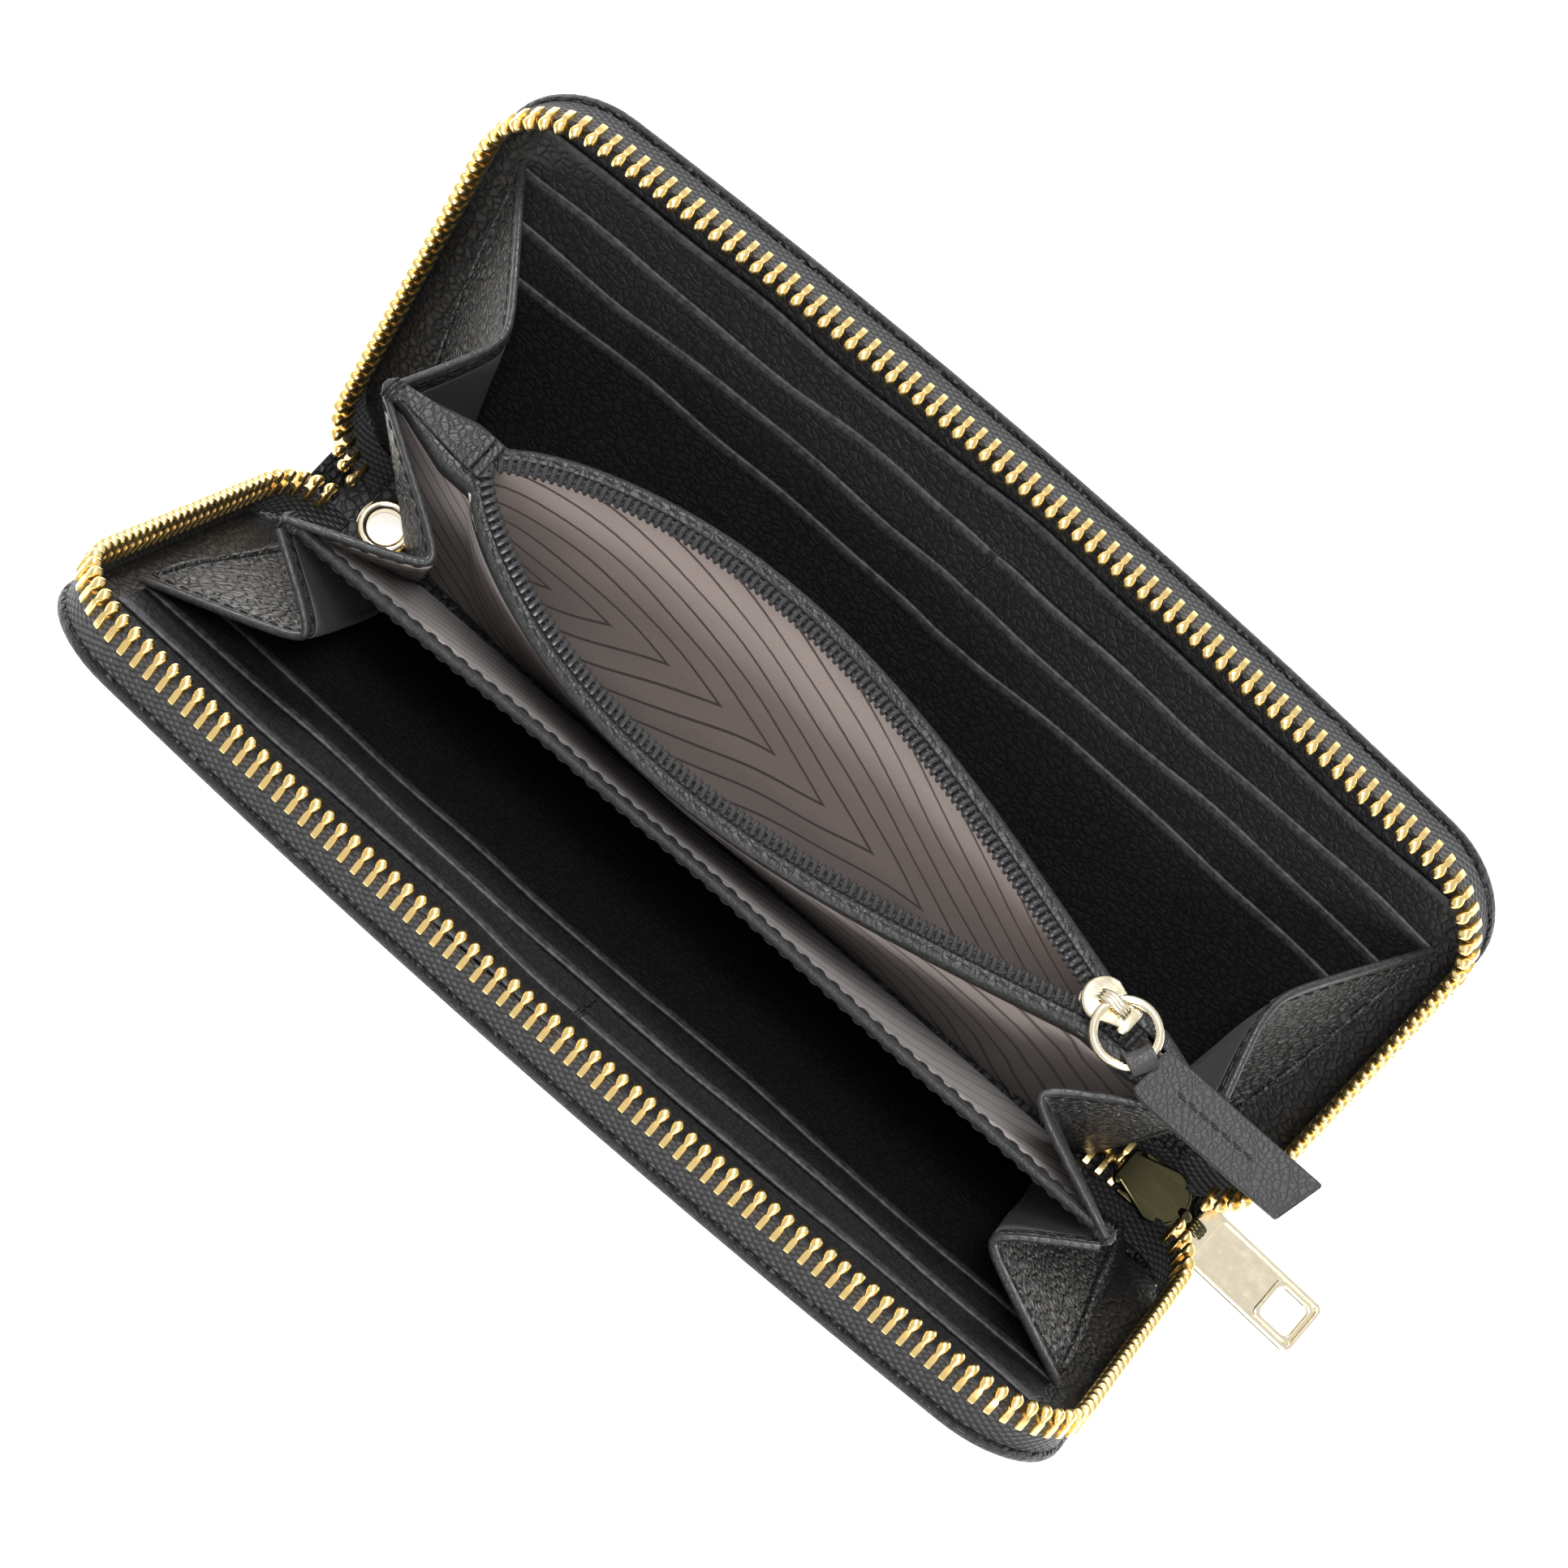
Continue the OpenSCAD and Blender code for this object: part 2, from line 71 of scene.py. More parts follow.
HALF_L, COVER_H, CORNER_R = 95.0, 88.0, 16.0  # half the cover's length, its height, its corners
TOP_STRAIGHT = COVER_H - CORNER_R  # where a cover's round corners begin
HALF_S, SPINE_END = 10.5, 92.4  # half the spine's width, and half the length of its leather
FOOT_R, FOOT_H = 7.0, 1.9  # the small round corners at a cover's foot
SLIP_H, ROW_STEP, SHEET_T = 78.0, 8.5, 0.6  # slip pocket, step between card rows, their leather
PITCH = 2.54  # from one tooth of a row to the next
TAPE_IN = 0.95  # from a cover's edge to the zip's tape
TAPE_HALF, TAPE_TOP, TAPE_R = HALF_L - TAPE_IN, COVER_H - TAPE_IN, CORNER_R - TAPE_IN
TRACK_FOOT = 12.0  # the height at which a row begins to bend towards the spine
SIDE_L = TAPE_TOP - TAPE_R - TRACK_FOOT
ARC_L = math.pi / 2 * TAPE_R
TRACK = 2 * (SIDE_L + ARC_L + TAPE_HALF - TAPE_R)
END_R = 12.0  # radius of that bend
END_L = math.pi / 2 * END_R
END_Z = {-1: 2.45, 1: 4.7}  # height of the zip's rows at the spine, left and right
PULL_ROOM = 1.1  # how far the rows arch over the root of the main pull
EYELET_X, EYELET_R = -77.5, 3.45
LEFT_AND_RIGHT = ((-1, 77.6), (1, 80.3))  # ends of the coin pocket's top edge
DIVIDER_ENDS = ((-1, 76.2), (1, 80.3))
SHARP_EDGE = math.radians(38)


def smooth(t):
    t = np.clip(t, 0, 1)
    return t * t * (3 - 2 * t)


def ripple(x, seed):
    """A gentle wave, the same on every run."""
    return (
        np.sin(x / 13.7 + 1.3 * seed)
        + 0.6 * np.sin(x / 7.3 + 2.9 * seed)
        + 0.35 * np.sin(x / 4.1 + 0.7 * seed)
    ) / 1.95


# ---------------------------------------------------------------- places on the object


def cover_xyz(side, x, h, d):
    """A point of a cover: x along it, h up from the fold, d inwards from its outer face."""
    x, h, d = np.broadcast_arrays(np.asarray(x, float), np.asarray(h, float), np.asarray(d, float))
    a = LEAN[side]
    d = d - BOW[side] * (1 - (x / HALF_L) ** 2) * np.clip(h / COVER_H, 0, 1)
    y = side * (HALF_S + h * math.sin(a) - d * math.cos(a))
    return np.stack([x, y, h * math.cos(a) + d * math.sin(a)], -1)


def cover_share(side, points):
    """How far points turn with a cover: 0 at the fold, 1 on the cover, and a little more where
    the cover bows out, so that the closed covers meet all along the zip."""
    x, y, z = points[..., 0], points[..., 1], points[..., 2]
    a = LEAN[side]
    h = (side * y - HALF_S) * math.sin(a) + z * math.cos(a)
    bow = np.arctan(BOW[side] * (1 - np.clip(x / HALF_L, -1, 1) ** 2) / COVER_H)
    return smooth((h + 0.2) / 2.2) * (1 + bow / a)


def row_point(side, s, d, n):
    """A point of a zip row and its share of the cover's turn: s along the row, d across it,
    n inwards. Before 0 and after TRACK the row bends down and runs in along the spine."""
    s, d, n = np.broadcast_arrays(np.asarray(s, float), np.asarray(d, float), np.asarray(n, float))
    end = np.where(s > TRACK / 2, 1.0, -1.0)
    q = np.where(s > TRACK / 2, TRACK - s, s)
    phi = np.clip((q - SIDE_L) / TAPE_R, 0, math.pi / 2)
    x = TAPE_HALF - TAPE_R * (1 - np.cos(phi)) - np.clip(q - SIDE_L - ARC_L, 0, None)
    h = TRACK_FOOT + np.clip(q, 0, SIDE_L) + TAPE_R * np.sin(phi)
    on_cover = cover_xyz(side, end * (x - n * np.cos(phi)), h - n * np.sin(phi), d)
    t = np.clip(-q / END_R, 0, math.pi / 2)
    inwards = np.clip(-q - END_L, 0, None)
    d = d + 0.95 * smooth(inwards / 4)
    a = LEAN[side] * np.cos(t)
    h = END_R * (1 - np.sin(t))
    room = np.where(end > 0, PULL_ROOM, 0.0) * np.sin(math.pi * np.clip((t - 0.26) / 1.31, 0, 1))
    z0 = np.where(end < 0, END_Z[-1], END_Z[1])
    x = TAPE_HALF - END_R * (1 - np.cos(t)) - inwards
    at_end = np.stack(
        [
            end * (x - n * np.cos(t)),
            side * (HALF_S + h * np.sin(a) - d * np.cos(a)),
            h * np.cos(a) + d * np.sin(a) + (z0 + n) * np.sin(t) + room,
        ],
        -1,
    )
    low = q < 0
    points = np.where(low[..., None], at_end, on_cover)
    return points, np.where(low, np.cos(t), cover_share(side, on_cover))


# ---------------------------------------------------------------- meshes


class Shape:
    """Collects the parts of one mesh, in mm."""

    def __init__(self):
        self.points, self.faces, self.uvs, self.wear, self.share = [], [], [], [], []
        self.count = 0

    def add(self, points, faces, uv=None, wear=0.0, share=0.0):
        points = np.asarray(points, float).reshape(-1, 3)
        n = len(points)
        self.points.append(points)
        self.faces += [[i + self.count for i in f] for f in faces]
        self.uvs.append(points[:, :2] if uv is None else np.asarray(uv, float).reshape(-1, 2))
        self.wear.append(np.broadcast_to(np.asarray(wear, float).reshape(-1), (n,)))
        self.share.append(np.broadcast_to(np.asarray(share, float).reshape(-1), (n,)))
        self.count += n
        return self

    def make(self, name, material, weld=True):
        points = np.concatenate(self.points)
        mesh = bpy.data.meshes.new(name)
        mesh.from_pydata((points * MM).tolist(), [], self.faces)
        # the wear mask marks edges painted lighter, partly for wear and partly as a painted
        # highlight
        for key, kind, values in (
            ("wear", "FLOAT", np.concatenate(self.wear)),
            ("share", "FLOAT", np.concatenate(self.share)),
        ):
            data = mesh.attributes.new(key, kind, "POINT").data
            data.foreach_set("value", values.astype(np.float32))
        mesh.attributes.new("rest", "FLOAT_VECTOR", "POINT").data.foreach_set(
            "vector", (points * MM).astype(np.float32).ravel()
        )
        uv = np.concatenate(self.uvs) * MM
        layer = mesh.uv_layers.new(name="UVMap")
        loops = np.zeros(len(mesh.loops), np.int32)
        mesh.loops.foreach_get("vertex_index", loops)
        layer.data.foreach_set("uv", uv[loops].astype(np.float32).ravel())
        b = bmesh.new()
        b.from_mesh(mesh)
        if weld:
            bmesh.ops.remove_doubles(b, verts=b.verts, dist=2e-6)
        bmesh.ops.dissolve_degenerate(b, edges=b.edges, dist=1e-7)
        bmesh.ops.recalc_face_normals(b, faces=b.faces)
        b.to_mesh(mesh)
        b.free()
        for p in mesh.polygons:
            p.use_smooth = True
        mesh.set_sharp_from_angle(angle=SHARP_EDGE)
        obj = bpy.data.objects.new(name, mesh)
        bpy.context.scene.collection.objects.link(obj)
        obj.data.materials.append(material)
        return obj


def grid_faces(rows, cols, start=0, wrap=False):
    faces = []
    for j in range(rows - 1):
        for i in range(cols if wrap else cols - 1):
            a, b = start + j * cols + i, start + j * cols + (i + 1) % cols
            faces.append([a, b, b + cols, a + cols])
    return faces


def loft(shape, rings, uv=None, wear=0.0, share=0.0, cap=True, closed=False):
    """A tube through rings of points, shaped (rings, points, 3)."""
    rings = np.asarray(rings, float)
    n, m = rings.shape[:2]
    faces = grid_faces(n, m, wrap=True)
    if closed:
        last = (n - 1) * m
        faces += [[last + i, last + (i + 1) % m, (i + 1) % m, i] for i in range(m)]
    elif cap:
        faces += [list(range(m)), list(range((n - 1) * m, n * m))[::-1]]
    return shape.add(rings, faces, uv, wear, share)


def both(u, v):
    """Pairs of u and v, as UV coordinates."""
    return np.stack(np.broadcast_arrays(u, v), -1)


def circle(count):
    return np.linspace(0, 2 * math.pi, count, endpoint=False)


def lengths(points):
    """How far along a line each of its points is."""
    return np.concatenate([[0], np.cumsum(np.linalg.norm(np.diff(points, axis=0), axis=-1))])


def sheet(shape, P, thick, share=0.0, wear_rows=1.6, arc=5):
    """A closed sheet with its middle surface P, shaped (rows, columns, 3), and a round top edge
    that is painted lighter over the given number of mm: partly wear, partly a painted highlight."""
    nv, nu = P.shape[:2]
    du, dv = np.gradient(P, axis=1), np.gradient(P, axis=0)
    normal = np.cross(du, dv)
    normal /= np.linalg.norm(normal, axis=-1, keepdims=True) + 1e-12
    thick = np.broadcast_to(np.asarray(thick, float), (nv, nu))[..., None]
    up = dv[-1] / (np.linalg.norm(dv[-1], axis=-1, keepdims=True) + 1e-12)
    turns = np.linspace(0, math.pi, arc + 2)[1:-1]
    round_top = [normal[-1] * math.cos(t) + up * math.sin(t) for t in turns]
    top = np.stack([P[-1] + thick[-1] / 2 * way for way in round_top])
    face, back = P + normal * thick / 2, (P - normal * thick / 2)[::-1]
    loops = np.concatenate([face, top, back])
    U = lengths(P[nv // 2])
    V = lengths(P[:, nu // 2])
    v = np.concatenate([V, np.full(arc, V[-1]), V[::-1] + 0.3])
    uv = both(U, v[:, None])
    # the top edge is painted lighter: partly wear, partly a painted highlight where the round edge
    # catches the light
    wear_and_sheen_mask = smooth(1 - (V[-1] - v) / wear_rows) if wear_rows > 0 else v * 0
    wear_and_sheen_mask[nv : nv + arc] = 1.0 if wear_rows > 0 else 0.0
    share = np.broadcast_to(np.asarray(share, float), (nv, nu))
    shares = np.concatenate([share, np.repeat(share[-1:], arc, 0), share[::-1]])
    m = len(loops)
    faces = grid_faces(m, nu)
    faces += [[(m - 1) * nu + i, (m - 1) * nu + i + 1, i + 1, i] for i in range(nu - 1)]
    for c in (0, nu - 1):
        ids = [j * nu + c for j in range(m)]
        for j in range(nv - 1):
            faces.append([ids[j], ids[j + 1], ids[m - 2 - j], ids[m - 1 - j]])
        faces.append(ids[nv - 1 : nv + arc + 1])
    wear_and_sheen_mask = np.repeat(wear_and_sheen_mask[:, None], nu, 1)
    return shape.add(loops, faces, uv, wear_and_sheen_mask, shares)


def frames(path, closed=False):
    """Tangents and two normals along a path."""
    path = np.asarray(path, float)
    if closed:
        tangent = np.roll(path, -1, 0) - np.roll(path, 1, 0)
    else:
        tangent = np.gradient(path, axis=0)
    tangent /= np.linalg.norm(tangent, axis=1, keepdims=True) + 1e-12
    ref = np.array([0.0, 0, 1]) if abs(tangent[0][2]) < 0.9 else np.array([0.0, 1, 0])
    one = np.zeros_like(path)
    one[0] = ref - tangent[0] * (ref @ tangent[0])
    one[0] /= np.linalg.norm(one[0])
    for i in range(1, len(path)):
        v = one[i - 1] - tangent[i] * (one[i - 1] @ tangent[i])
        one[i] = v / (np.linalg.norm(v) + 1e-12)
    return tangent, one, np.cross(tangent, one)


def tube(shape, path, radius, sides=8, closed=False, wear=0.0, share=0.0, flat=1.0):
    path = np.asarray(path, float)
    _, a, b = frames(path, closed)
    radius = np.broadcast_to(np.asarray(radius, float), (len(path),))
    t = circle(sides)
    rings = path[:, None] + radius[:, None, None] * (
        a[:, None] * np.cos(t)[None, :, None] * flat + b[:, None] * np.sin(t)[None, :, None]
    )
    share = np.broadcast_to(np.asarray(share, float).reshape(-1), (len(path),))
    uv = both(lengths(path)[:, None], t * radius.mean())
    return loft(shape, rings, uv, wear, np.repeat(share, sides), closed=closed)


def stitches(shape, path, normal, pitch=3.0, gap=0.8, radius=0.24, share=None, skew=0.0):
    """A row of thread stitches along a path, each dipping into the sheet at its ends."""
    path, normal = np.asarray(path, float), np.asarray(normal, float)
    s = lengths(path)
    normal = np.broadcast_to(normal, path.shape)
    share = np.zeros(len(path)) if share is None else np.broadcast_to(share, (len(path),))
    count = max(1, int(s[-1] / pitch))
    pitch = s[-1] / count

    def at(v, values):
        return np.stack([np.interp(v, s, values[:, k]) for k in range(3)], -1)

    for k in range(count):
        v = np.linspace(k * pitch + gap / 2, (k + 1) * pitch - gap / 2, 6)
        p, nn = at(v, path), at(v, normal)
        nn /= np.linalg.norm(nn, axis=1, keepdims=True) + 1e-12
        along = p[-1] - p[0]
        across = np.cross(along / (np.linalg.norm(along) + 1e-12), nn[0])
        lift = np.array([-0.5, 0.35, 0.75, 0.75, 0.35, -0.5]) * radius
        p = p + nn * lift[:, None] + across * (np.linspace(-0.5, 0.5, 6) * skew)[:, None]
        w = np.interp(v.mean(), s, share)
        tube(shape, p, radius * np.array([0.45, 0.9, 1, 1, 0.9, 0.45]), 6, share=w)


def flat_plate(outlines, thick, bevel, turns=3):
    """Points and faces of a flat plate with round edges, centred on z 0. The first outline is the
    outer one and the rest are holes."""
    curve = bpy.data.curves.new("plate", "CURVE")
    curve.dimensions = "2D"
    curve.fill_mode = "BOTH"
    curve.extrude = thick / 2 - bevel
    curve.bevel_depth = bevel
    curve.bevel_resolution = turns
    curve.offset = -bevel
    for outline in outlines:
        spline = curve.splines.new("POLY")
        spline.points.add(len(outline) - 1)
        for p, (x, y) in zip(spline.points, outline):
            p.co = (x, y, 0, 1)
        spline.use_cyclic_u = True
    obj = bpy.data.objects.new("plate", curve)
    mesh = bpy.data.meshes.new_from_object(obj)
    points = np.array([v.co for v in mesh.vertices])
    faces = [list(p.vertices) for p in mesh.polygons]
    bpy.data.objects.remove(obj)
    bpy.data.curves.remove(curve)
    bpy.data.meshes.remove(mesh)
    return points, faces


def rounded(outline, radius, steps=5):
    """A polygon with its corners rounded by a radius, or by one radius for each corner."""
    pts = [np.array(p, float) for p in outline]
    n = len(pts)
    radii = [radius] * n if np.isscalar(radius) else radius
    result = []
    for i in range(n):
        p, a, b = pts[i], pts[i - 1], pts[(i + 1) % n]
        u, v = (a - p) / np.linalg.norm(a - p), (b - p) / np.linalg.norm(b - p)
        half = math.acos(np.clip(u @ v, -1, 1)) / 2
        sides = 0.49 * np.linalg.norm(a - p), 0.49 * np.linalg.norm(b - p)
        cut = min(radii[i] / math.tan(half), *sides)
        r = cut * math.tan(half)
        if r < 1e-4:
            result.append(p)
            continue
        centre = p + (u + v) / np.linalg.norm(u + v) * (r / math.sin(half))
        start, stop = p + u * cut - centre, p + v * cut - centre
        turn = math.atan2(start[0] * stop[1] - start[1] * stop[0], start @ stop)
        for t in np.linspace(0, turn, steps + 1):
            c, s = math.cos(t), math.sin(t)
            turned_by_t = [start[0] * c - start[1] * s, start[0] * s + start[1] * c]
            result.append(centre + np.array(turned_by_t))
    return np.array(result)


def box(x0, y0, x1, y1):
    return [(x0, y0), (x1, y0), (x1, y1), (x0, y1)]


def lathe(shape, profile, steps):
    """A solid turned about z, from a closed profile of (radius, z)."""
    t = circle(steps)
    profile = np.asarray(profile, float)
    rings = np.stack(
        [
            profile[None, :, 0] * np.cos(t)[:, None],
            profile[None, :, 0] * np.sin(t)[:, None],
            np.broadcast_to(profile[None, :, 1], (steps, len(profile))),
        ],
        -1,
    )
    return loft(shape, rings, closed=True)


def placed(points, matrix):
    return np.asarray(points, float) @ np.array(matrix)[:3, :3].T + np.array(matrix)[:3, 3]


# ---------------------------------------------------------------- materials


class Nodes:
    """A material being wired up."""

    def __init__(self, name, colour, rough, metallic=0.0, **sockets):
        self.material = bpy.data.materials.new(name)
        self.material.use_nodes = True
        self.tree = self.material.node_tree
        self.shader = self.tree.nodes["Principled BSDF"]
        self.shader.inputs["Base Color"].default_value = (*colour, 1)
        self.shader.inputs["Roughness"].default_value = rough
        self.shader.inputs["Metallic"].default_value = metallic
        for key, value in sockets.items():
            self.shader.inputs[key.replace("_", " ")].default_value = value

    def node(self, kind, inputs=None, **settings):
        n = self.tree.nodes.new("ShaderNode" + kind)
        for key, value in settings.items():
            setattr(n, key, value)
        for key, value in (inputs or {}).items():
            if isinstance(value, bpy.types.NodeSocket):
                self.tree.links.new(value, n.inputs[key])
            else:
                n.inputs[key].default_value = value
        return n

    def math(self, operation, a, b=0.0, c=0.0):
        return self.node("Math", {0: a, 1: b, 2: c}, operation=operation).outputs[0]

    def rest(self):
        return self.node("Attribute", attribute_name="rest").outputs["Vector"]

    def wear_and_sheen_mask(self):
        return self.node("Attribute", attribute_name="wear").outputs["Fac"]

    def uv(self):
        return self.node("UVMap", uv_map="UVMap").outputs[0]

    def noise(self, vector, scale, detail=3.0):
        n = self.node("TexNoise", {"Vector": vector, "Scale": scale, "Detail": detail})
        return n.outputs[0]

    def ramp(self, value, low, high, to_low=0.0, to_high=1.0):
        n = self.node(
            "MapRange",
            {"Value": value, "From Min": low, "From Max": high}
            | {"To Min": to_low, "To Max": to_high},
        )
        return n.outputs[0]

    def mix(self, share, a, b):
        n = self.node("Mix", {0: share}, data_type="RGBA")
        for socket, value in ((6, a), (7, b)):
            if isinstance(value, bpy.types.NodeSocket):
                self.tree.links.new(value, n.inputs[socket])
            else:
                n.inputs[socket].default_value = (*value, 1)
        return n.outputs[2]

    def colour(self, value):
        self.tree.links.new(value, self.shader.inputs["Base Color"])

    def rough(self, value):
        self.tree.links.new(value, self.shader.inputs["Roughness"])

    def bump(self, height, distance):
        inputs = {"Height": height, "Strength": 1.0, "Distance": distance}
        self.tree.links.new(self.node("Bump", inputs).outputs[0], self.shader.inputs["Normal"])


def leather(name, dark, light, rough, cell, depth, edge, wrinkle=0.3):
    """Grained leather: cell is the size of a pebble and depth how deep the creases are, in mm.
    Pebble tops take the colour light and the creases between them the colour dark, a painted shade,
    with broad noise as tone that varies at random. Edges take the colour edge, lighter partly for
    wear and partly as a painted highlight, and wrinkle is how strongly the larger creases show."""
    m = Nodes(name, dark, rough, Specular_IOR_Level=0.34)
    p = m.rest()
    bend = m.node("TexNoise", {"Vector": p, "Scale": 420.0, "Detail": 2.0}).outputs["Color"]
    soft = m.node("VectorMath", {0: bend, "Scale": 0.9 * cell * MM}, operation="SCALE").outputs[0]
    moved = m.node("VectorMath", {0: p, 1: soft}, operation="ADD").outputs[0]
    cells = m.node(
        "TexVoronoi", {"Vector": moved, "Scale": 1000.0 / cell}, feature="DISTANCE_TO_EDGE"
    ).outputs[0]
    pebble = m.math("POWER", m.ramp(cells, 0.0, 0.26), 0.6)
    creases = m.node(
        "TexVoronoi", {"Vector": moved, "Scale": 260.0 / cell}, feature="DISTANCE_TO_EDGE"
    ).outputs[0]
    crease = m.ramp(creases, 0.0, 0.09)
    fine = m.noise(p, 4200.0, 2.0)
    broad = m.noise(p, 70.0, 3.0)
    height = m.math("MULTIPLY_ADD", fine, 0.18, m.math("MULTIPLY_ADD", crease, wrinkle, pebble))
    height = m.math("MULTIPLY_ADD", broad, 0.7, height)
    height = m.math("MULTIPLY", height, m.ramp(m.wear_and_sheen_mask(), 0.0, 0.7, 1.0, 0.12))
    # painted shade: darker in the creases between pebbles and lighter on their tops, plus random
    # tone from the broad noise
    tone = m.mix(m.ramp(m.math("MULTIPLY_ADD", broad, 0.6, pebble), 0.35, 1.3), dark, light)
    # edges in the wear mask take the colour edge, broken up by noise: partly wear, partly a painted
    # highlight on rounded edges
    wear_and_sheen_mask = m.math("MULTIPLY", m.wear_and_sheen_mask(), m.ramp(m.noise(p, 900.0, 3.0), 0.35, 0.65, 0.2, 1.0))
    m.colour(m.mix(wear_and_sheen_mask, tone, edge))
    high = m.math("MULTIPLY_ADD", broad, 0.5, pebble)
    m.rough(m.ramp(high, 0.2, 1.3, rough + 0.16, rough - 0.04))
    m.bump(height, depth * MM)
    return m.material


def weave(name, dark, light, rough, warp, weft, depth):
    """Woven cloth: warp and weft are the widths of its yarns in mm."""
    m = Nodes(name, dark, rough, Sheen_Weight=0.1, Sheen_Roughness=0.5, Specular_IOR_Level=0.3)
    uv = m.node("SeparateXYZ", {0: m.uv()})
    a = m.math("MULTIPLY", uv.outputs[0], math.pi * 1000 / warp)
    b = m.math("MULTIPLY", uv.outputs[1], math.pi * 1000 / weft)
    one = m.math("ABSOLUTE", m.math("SINE", m.math("ADD", a, b)))
    two = m.math("ABSOLUTE", m.math("SINE", m.math("SUBTRACT", a, b)))
    yarn = m.math("MULTIPLY", one, two)
    lint = m.noise(m.rest(), 2600.0, 2.0)
    height = m.math("MULTIPLY_ADD", lint, 0.3, yarn)
    # painted shade: the gaps between yarns take the colour dark and the yarn tops the colour light;
    # lint noise adds random tone
    m.colour(m.mix(m.ramp(height, 0.1, 1.1), dark, light))
    m.rough(m.ramp(lint, 0.3, 0.7, rough - 0.08, rough + 0.08))
    m.bump(height, depth * MM)
    return m.material


def twill(name, dark, light, line, slope, spacing, chevron):
    """Lining cloth with a fine twill and thin printed lines, slanted or in chevrons."""
    m = Nodes(name, light, 0.62, Sheen_Weight=0.25, Sheen_Roughness=0.4, Specular_IOR_Level=0.3)
    uv = m.node("SeparateXYZ", {0: m.uv()})
    u, v = (m.math("MULTIPLY", uv.outputs[k], 1000.0) for k in (0, 1))
    ribs = m.math("MULTIPLY", m.math("ADD", u, v), math.pi / 0.75)
    rib = m.math("ABSOLUTE", m.math("SINE", ribs))
    slant = m.math("MULTIPLY", m.math("SUBTRACT", u, v), math.pi / 0.42)
    cross = m.math("ABSOLUTE", m.math("SINE", slant))
    height = m.math("MULTIPLY_ADD", cross, 0.35, rib)
    drift = m.noise(m.rest(), 28.0, 1.0)
    run = m.math("MULTIPLY_ADD", drift, 5.0, u)
    if chevron:
        peak = m.math("ABSOLUTE", m.math("SUBTRACT", v, chevron))
        run = m.math("MULTIPLY_ADD", peak, slope, run)
    else:
        run = m.math("MULTIPLY_ADD", v, slope, run)
    place = m.math("FRACT", m.math("DIVIDE", run, spacing))
    phase = m.math("ABSOLUTE", m.math("SUBTRACT", place, 0.5))
    half = 0.46 / spacing
    mark = m.ramp(phase, half, 1.8 * half, 1.0, 0.0)
    # painted shade: the hollows between ribs take the colour dark and the rib tops the colour light
    tone = m.mix(m.ramp(height, 0.0, 1.3), dark, light)
    tone = m.mix(m.ramp(m.noise(m.rest(), 90.0, 2.0), 0.35, 0.65, 0.0, 0.25), tone, dark)
    m.colour(m.mix(m.math("MULTIPLY", mark, 0.95), tone, line))
    m.rough(m.ramp(height, 0.0, 1.3, 0.7, 0.55))
    m.bump(height, 0.05 * MM)
    return m.material


def metal(name, colour, deep, rough, scratch=0.02):
    m = Nodes(name, colour, rough, 1.0)
    p = m.rest()
    grime = m.noise(p, 700.0, 3.0)
    stretched = m.node("Mapping", {"Vector": p, "Scale": (150.0, 2600.0, 2600.0)}).outputs[0]
    lines = m.noise(stretched, 1.0, 2.0)
    m.colour(m.mix(m.ramp(grime, 0.35, 0.75, 0.0, 0.5), colour, deep))
    dull = m.ramp(grime, 0.3, 0.7, rough - 0.06, rough + 0.05)
    m.rough(m.math("MULTIPLY_ADD", lines, 0.12, dull))
    m.bump(m.math("MULTIPLY_ADD", lines, 0.5, grime), scratch * MM)
    return m.material


def plain(name, colour, rough, scale, depth, **sockets):
    m = Nodes(name, colour, rough, **sockets)
    n = m.noise(m.rest(), scale, 3.0)
    m.colour(m.mix(m.ramp(n, 0.3, 0.7, 0.0, 0.6), colour, tuple(0.55 * c for c in colour)))
    m.rough(m.ramp(n, 0.3, 0.7, rough - 0.06, rough + 0.08))
    m.bump(n, depth * MM)
    return m.material


def thread(name, colour, light):
    m = Nodes(name, colour, 0.55, Specular_IOR_Level=0.3)
    uv = m.node("SeparateXYZ", {0: m.uv()})
    along = m.math("MULTIPLY_ADD", uv.outputs[1], 1.4, uv.outputs[0])
    twist = m.math("SINE", m.math("MULTIPLY", along, 2 * math.pi * 1000 / 0.55))
    # painted shade and highlight: the grooves of the twist are darker and its ridges lighter
    m.colour(m.mix(m.ramp(twist, -1, 1), colour, light))
    m.rough(m.ramp(twist, -1, 1, 0.65, 0.5))
    m.bump(twist, 0.03 * MM)
    return m.material


# each leather's last colour is its edge colour, lighter than the rest: partly wear, partly a
# painted highlight on rounded edges
OUTER = leather(
    "outer_leather", (0.0025, 0.0025, 0.0028), (0.010, 0.010, 0.0108), 0.40, 1.5, 0.80,
    (0.022, 0.022, 0.024), 0.45,
)
INNER = leather(
    "inner_leather", (0.004, 0.004, 0.0045), (0.014, 0.014, 0.015), 0.45, 1.5, 0.13,
    (0.055, 0.055, 0.057),
)
GUSSET = leather(
    "gusset_leather", (0.005, 0.005, 0.0052), (0.030, 0.030, 0.031), 0.34, 1.65, 0.42,
    (0.024, 0.024, 0.025), 0.5,
)
BAND = leather(
    "band_leather", (0.005, 0.005, 0.0055), (0.020, 0.020, 0.021), 0.42, 1.1, 0.10,
    (0.040, 0.040, 0.042),
)
PULL = leather(
    "pull_leather", (0.015, 0.015, 0.016), (0.022, 0.022, 0.023), 0.48, 0.9, 0.07,
    (0.07, 0.07, 0.07), 0.2,
)
TAPE = weave("zip_tape", (0.003, 0.003, 0.0035), (0.050, 0.050, 0.053), 0.5, 1.9, 1.0, 0.34)
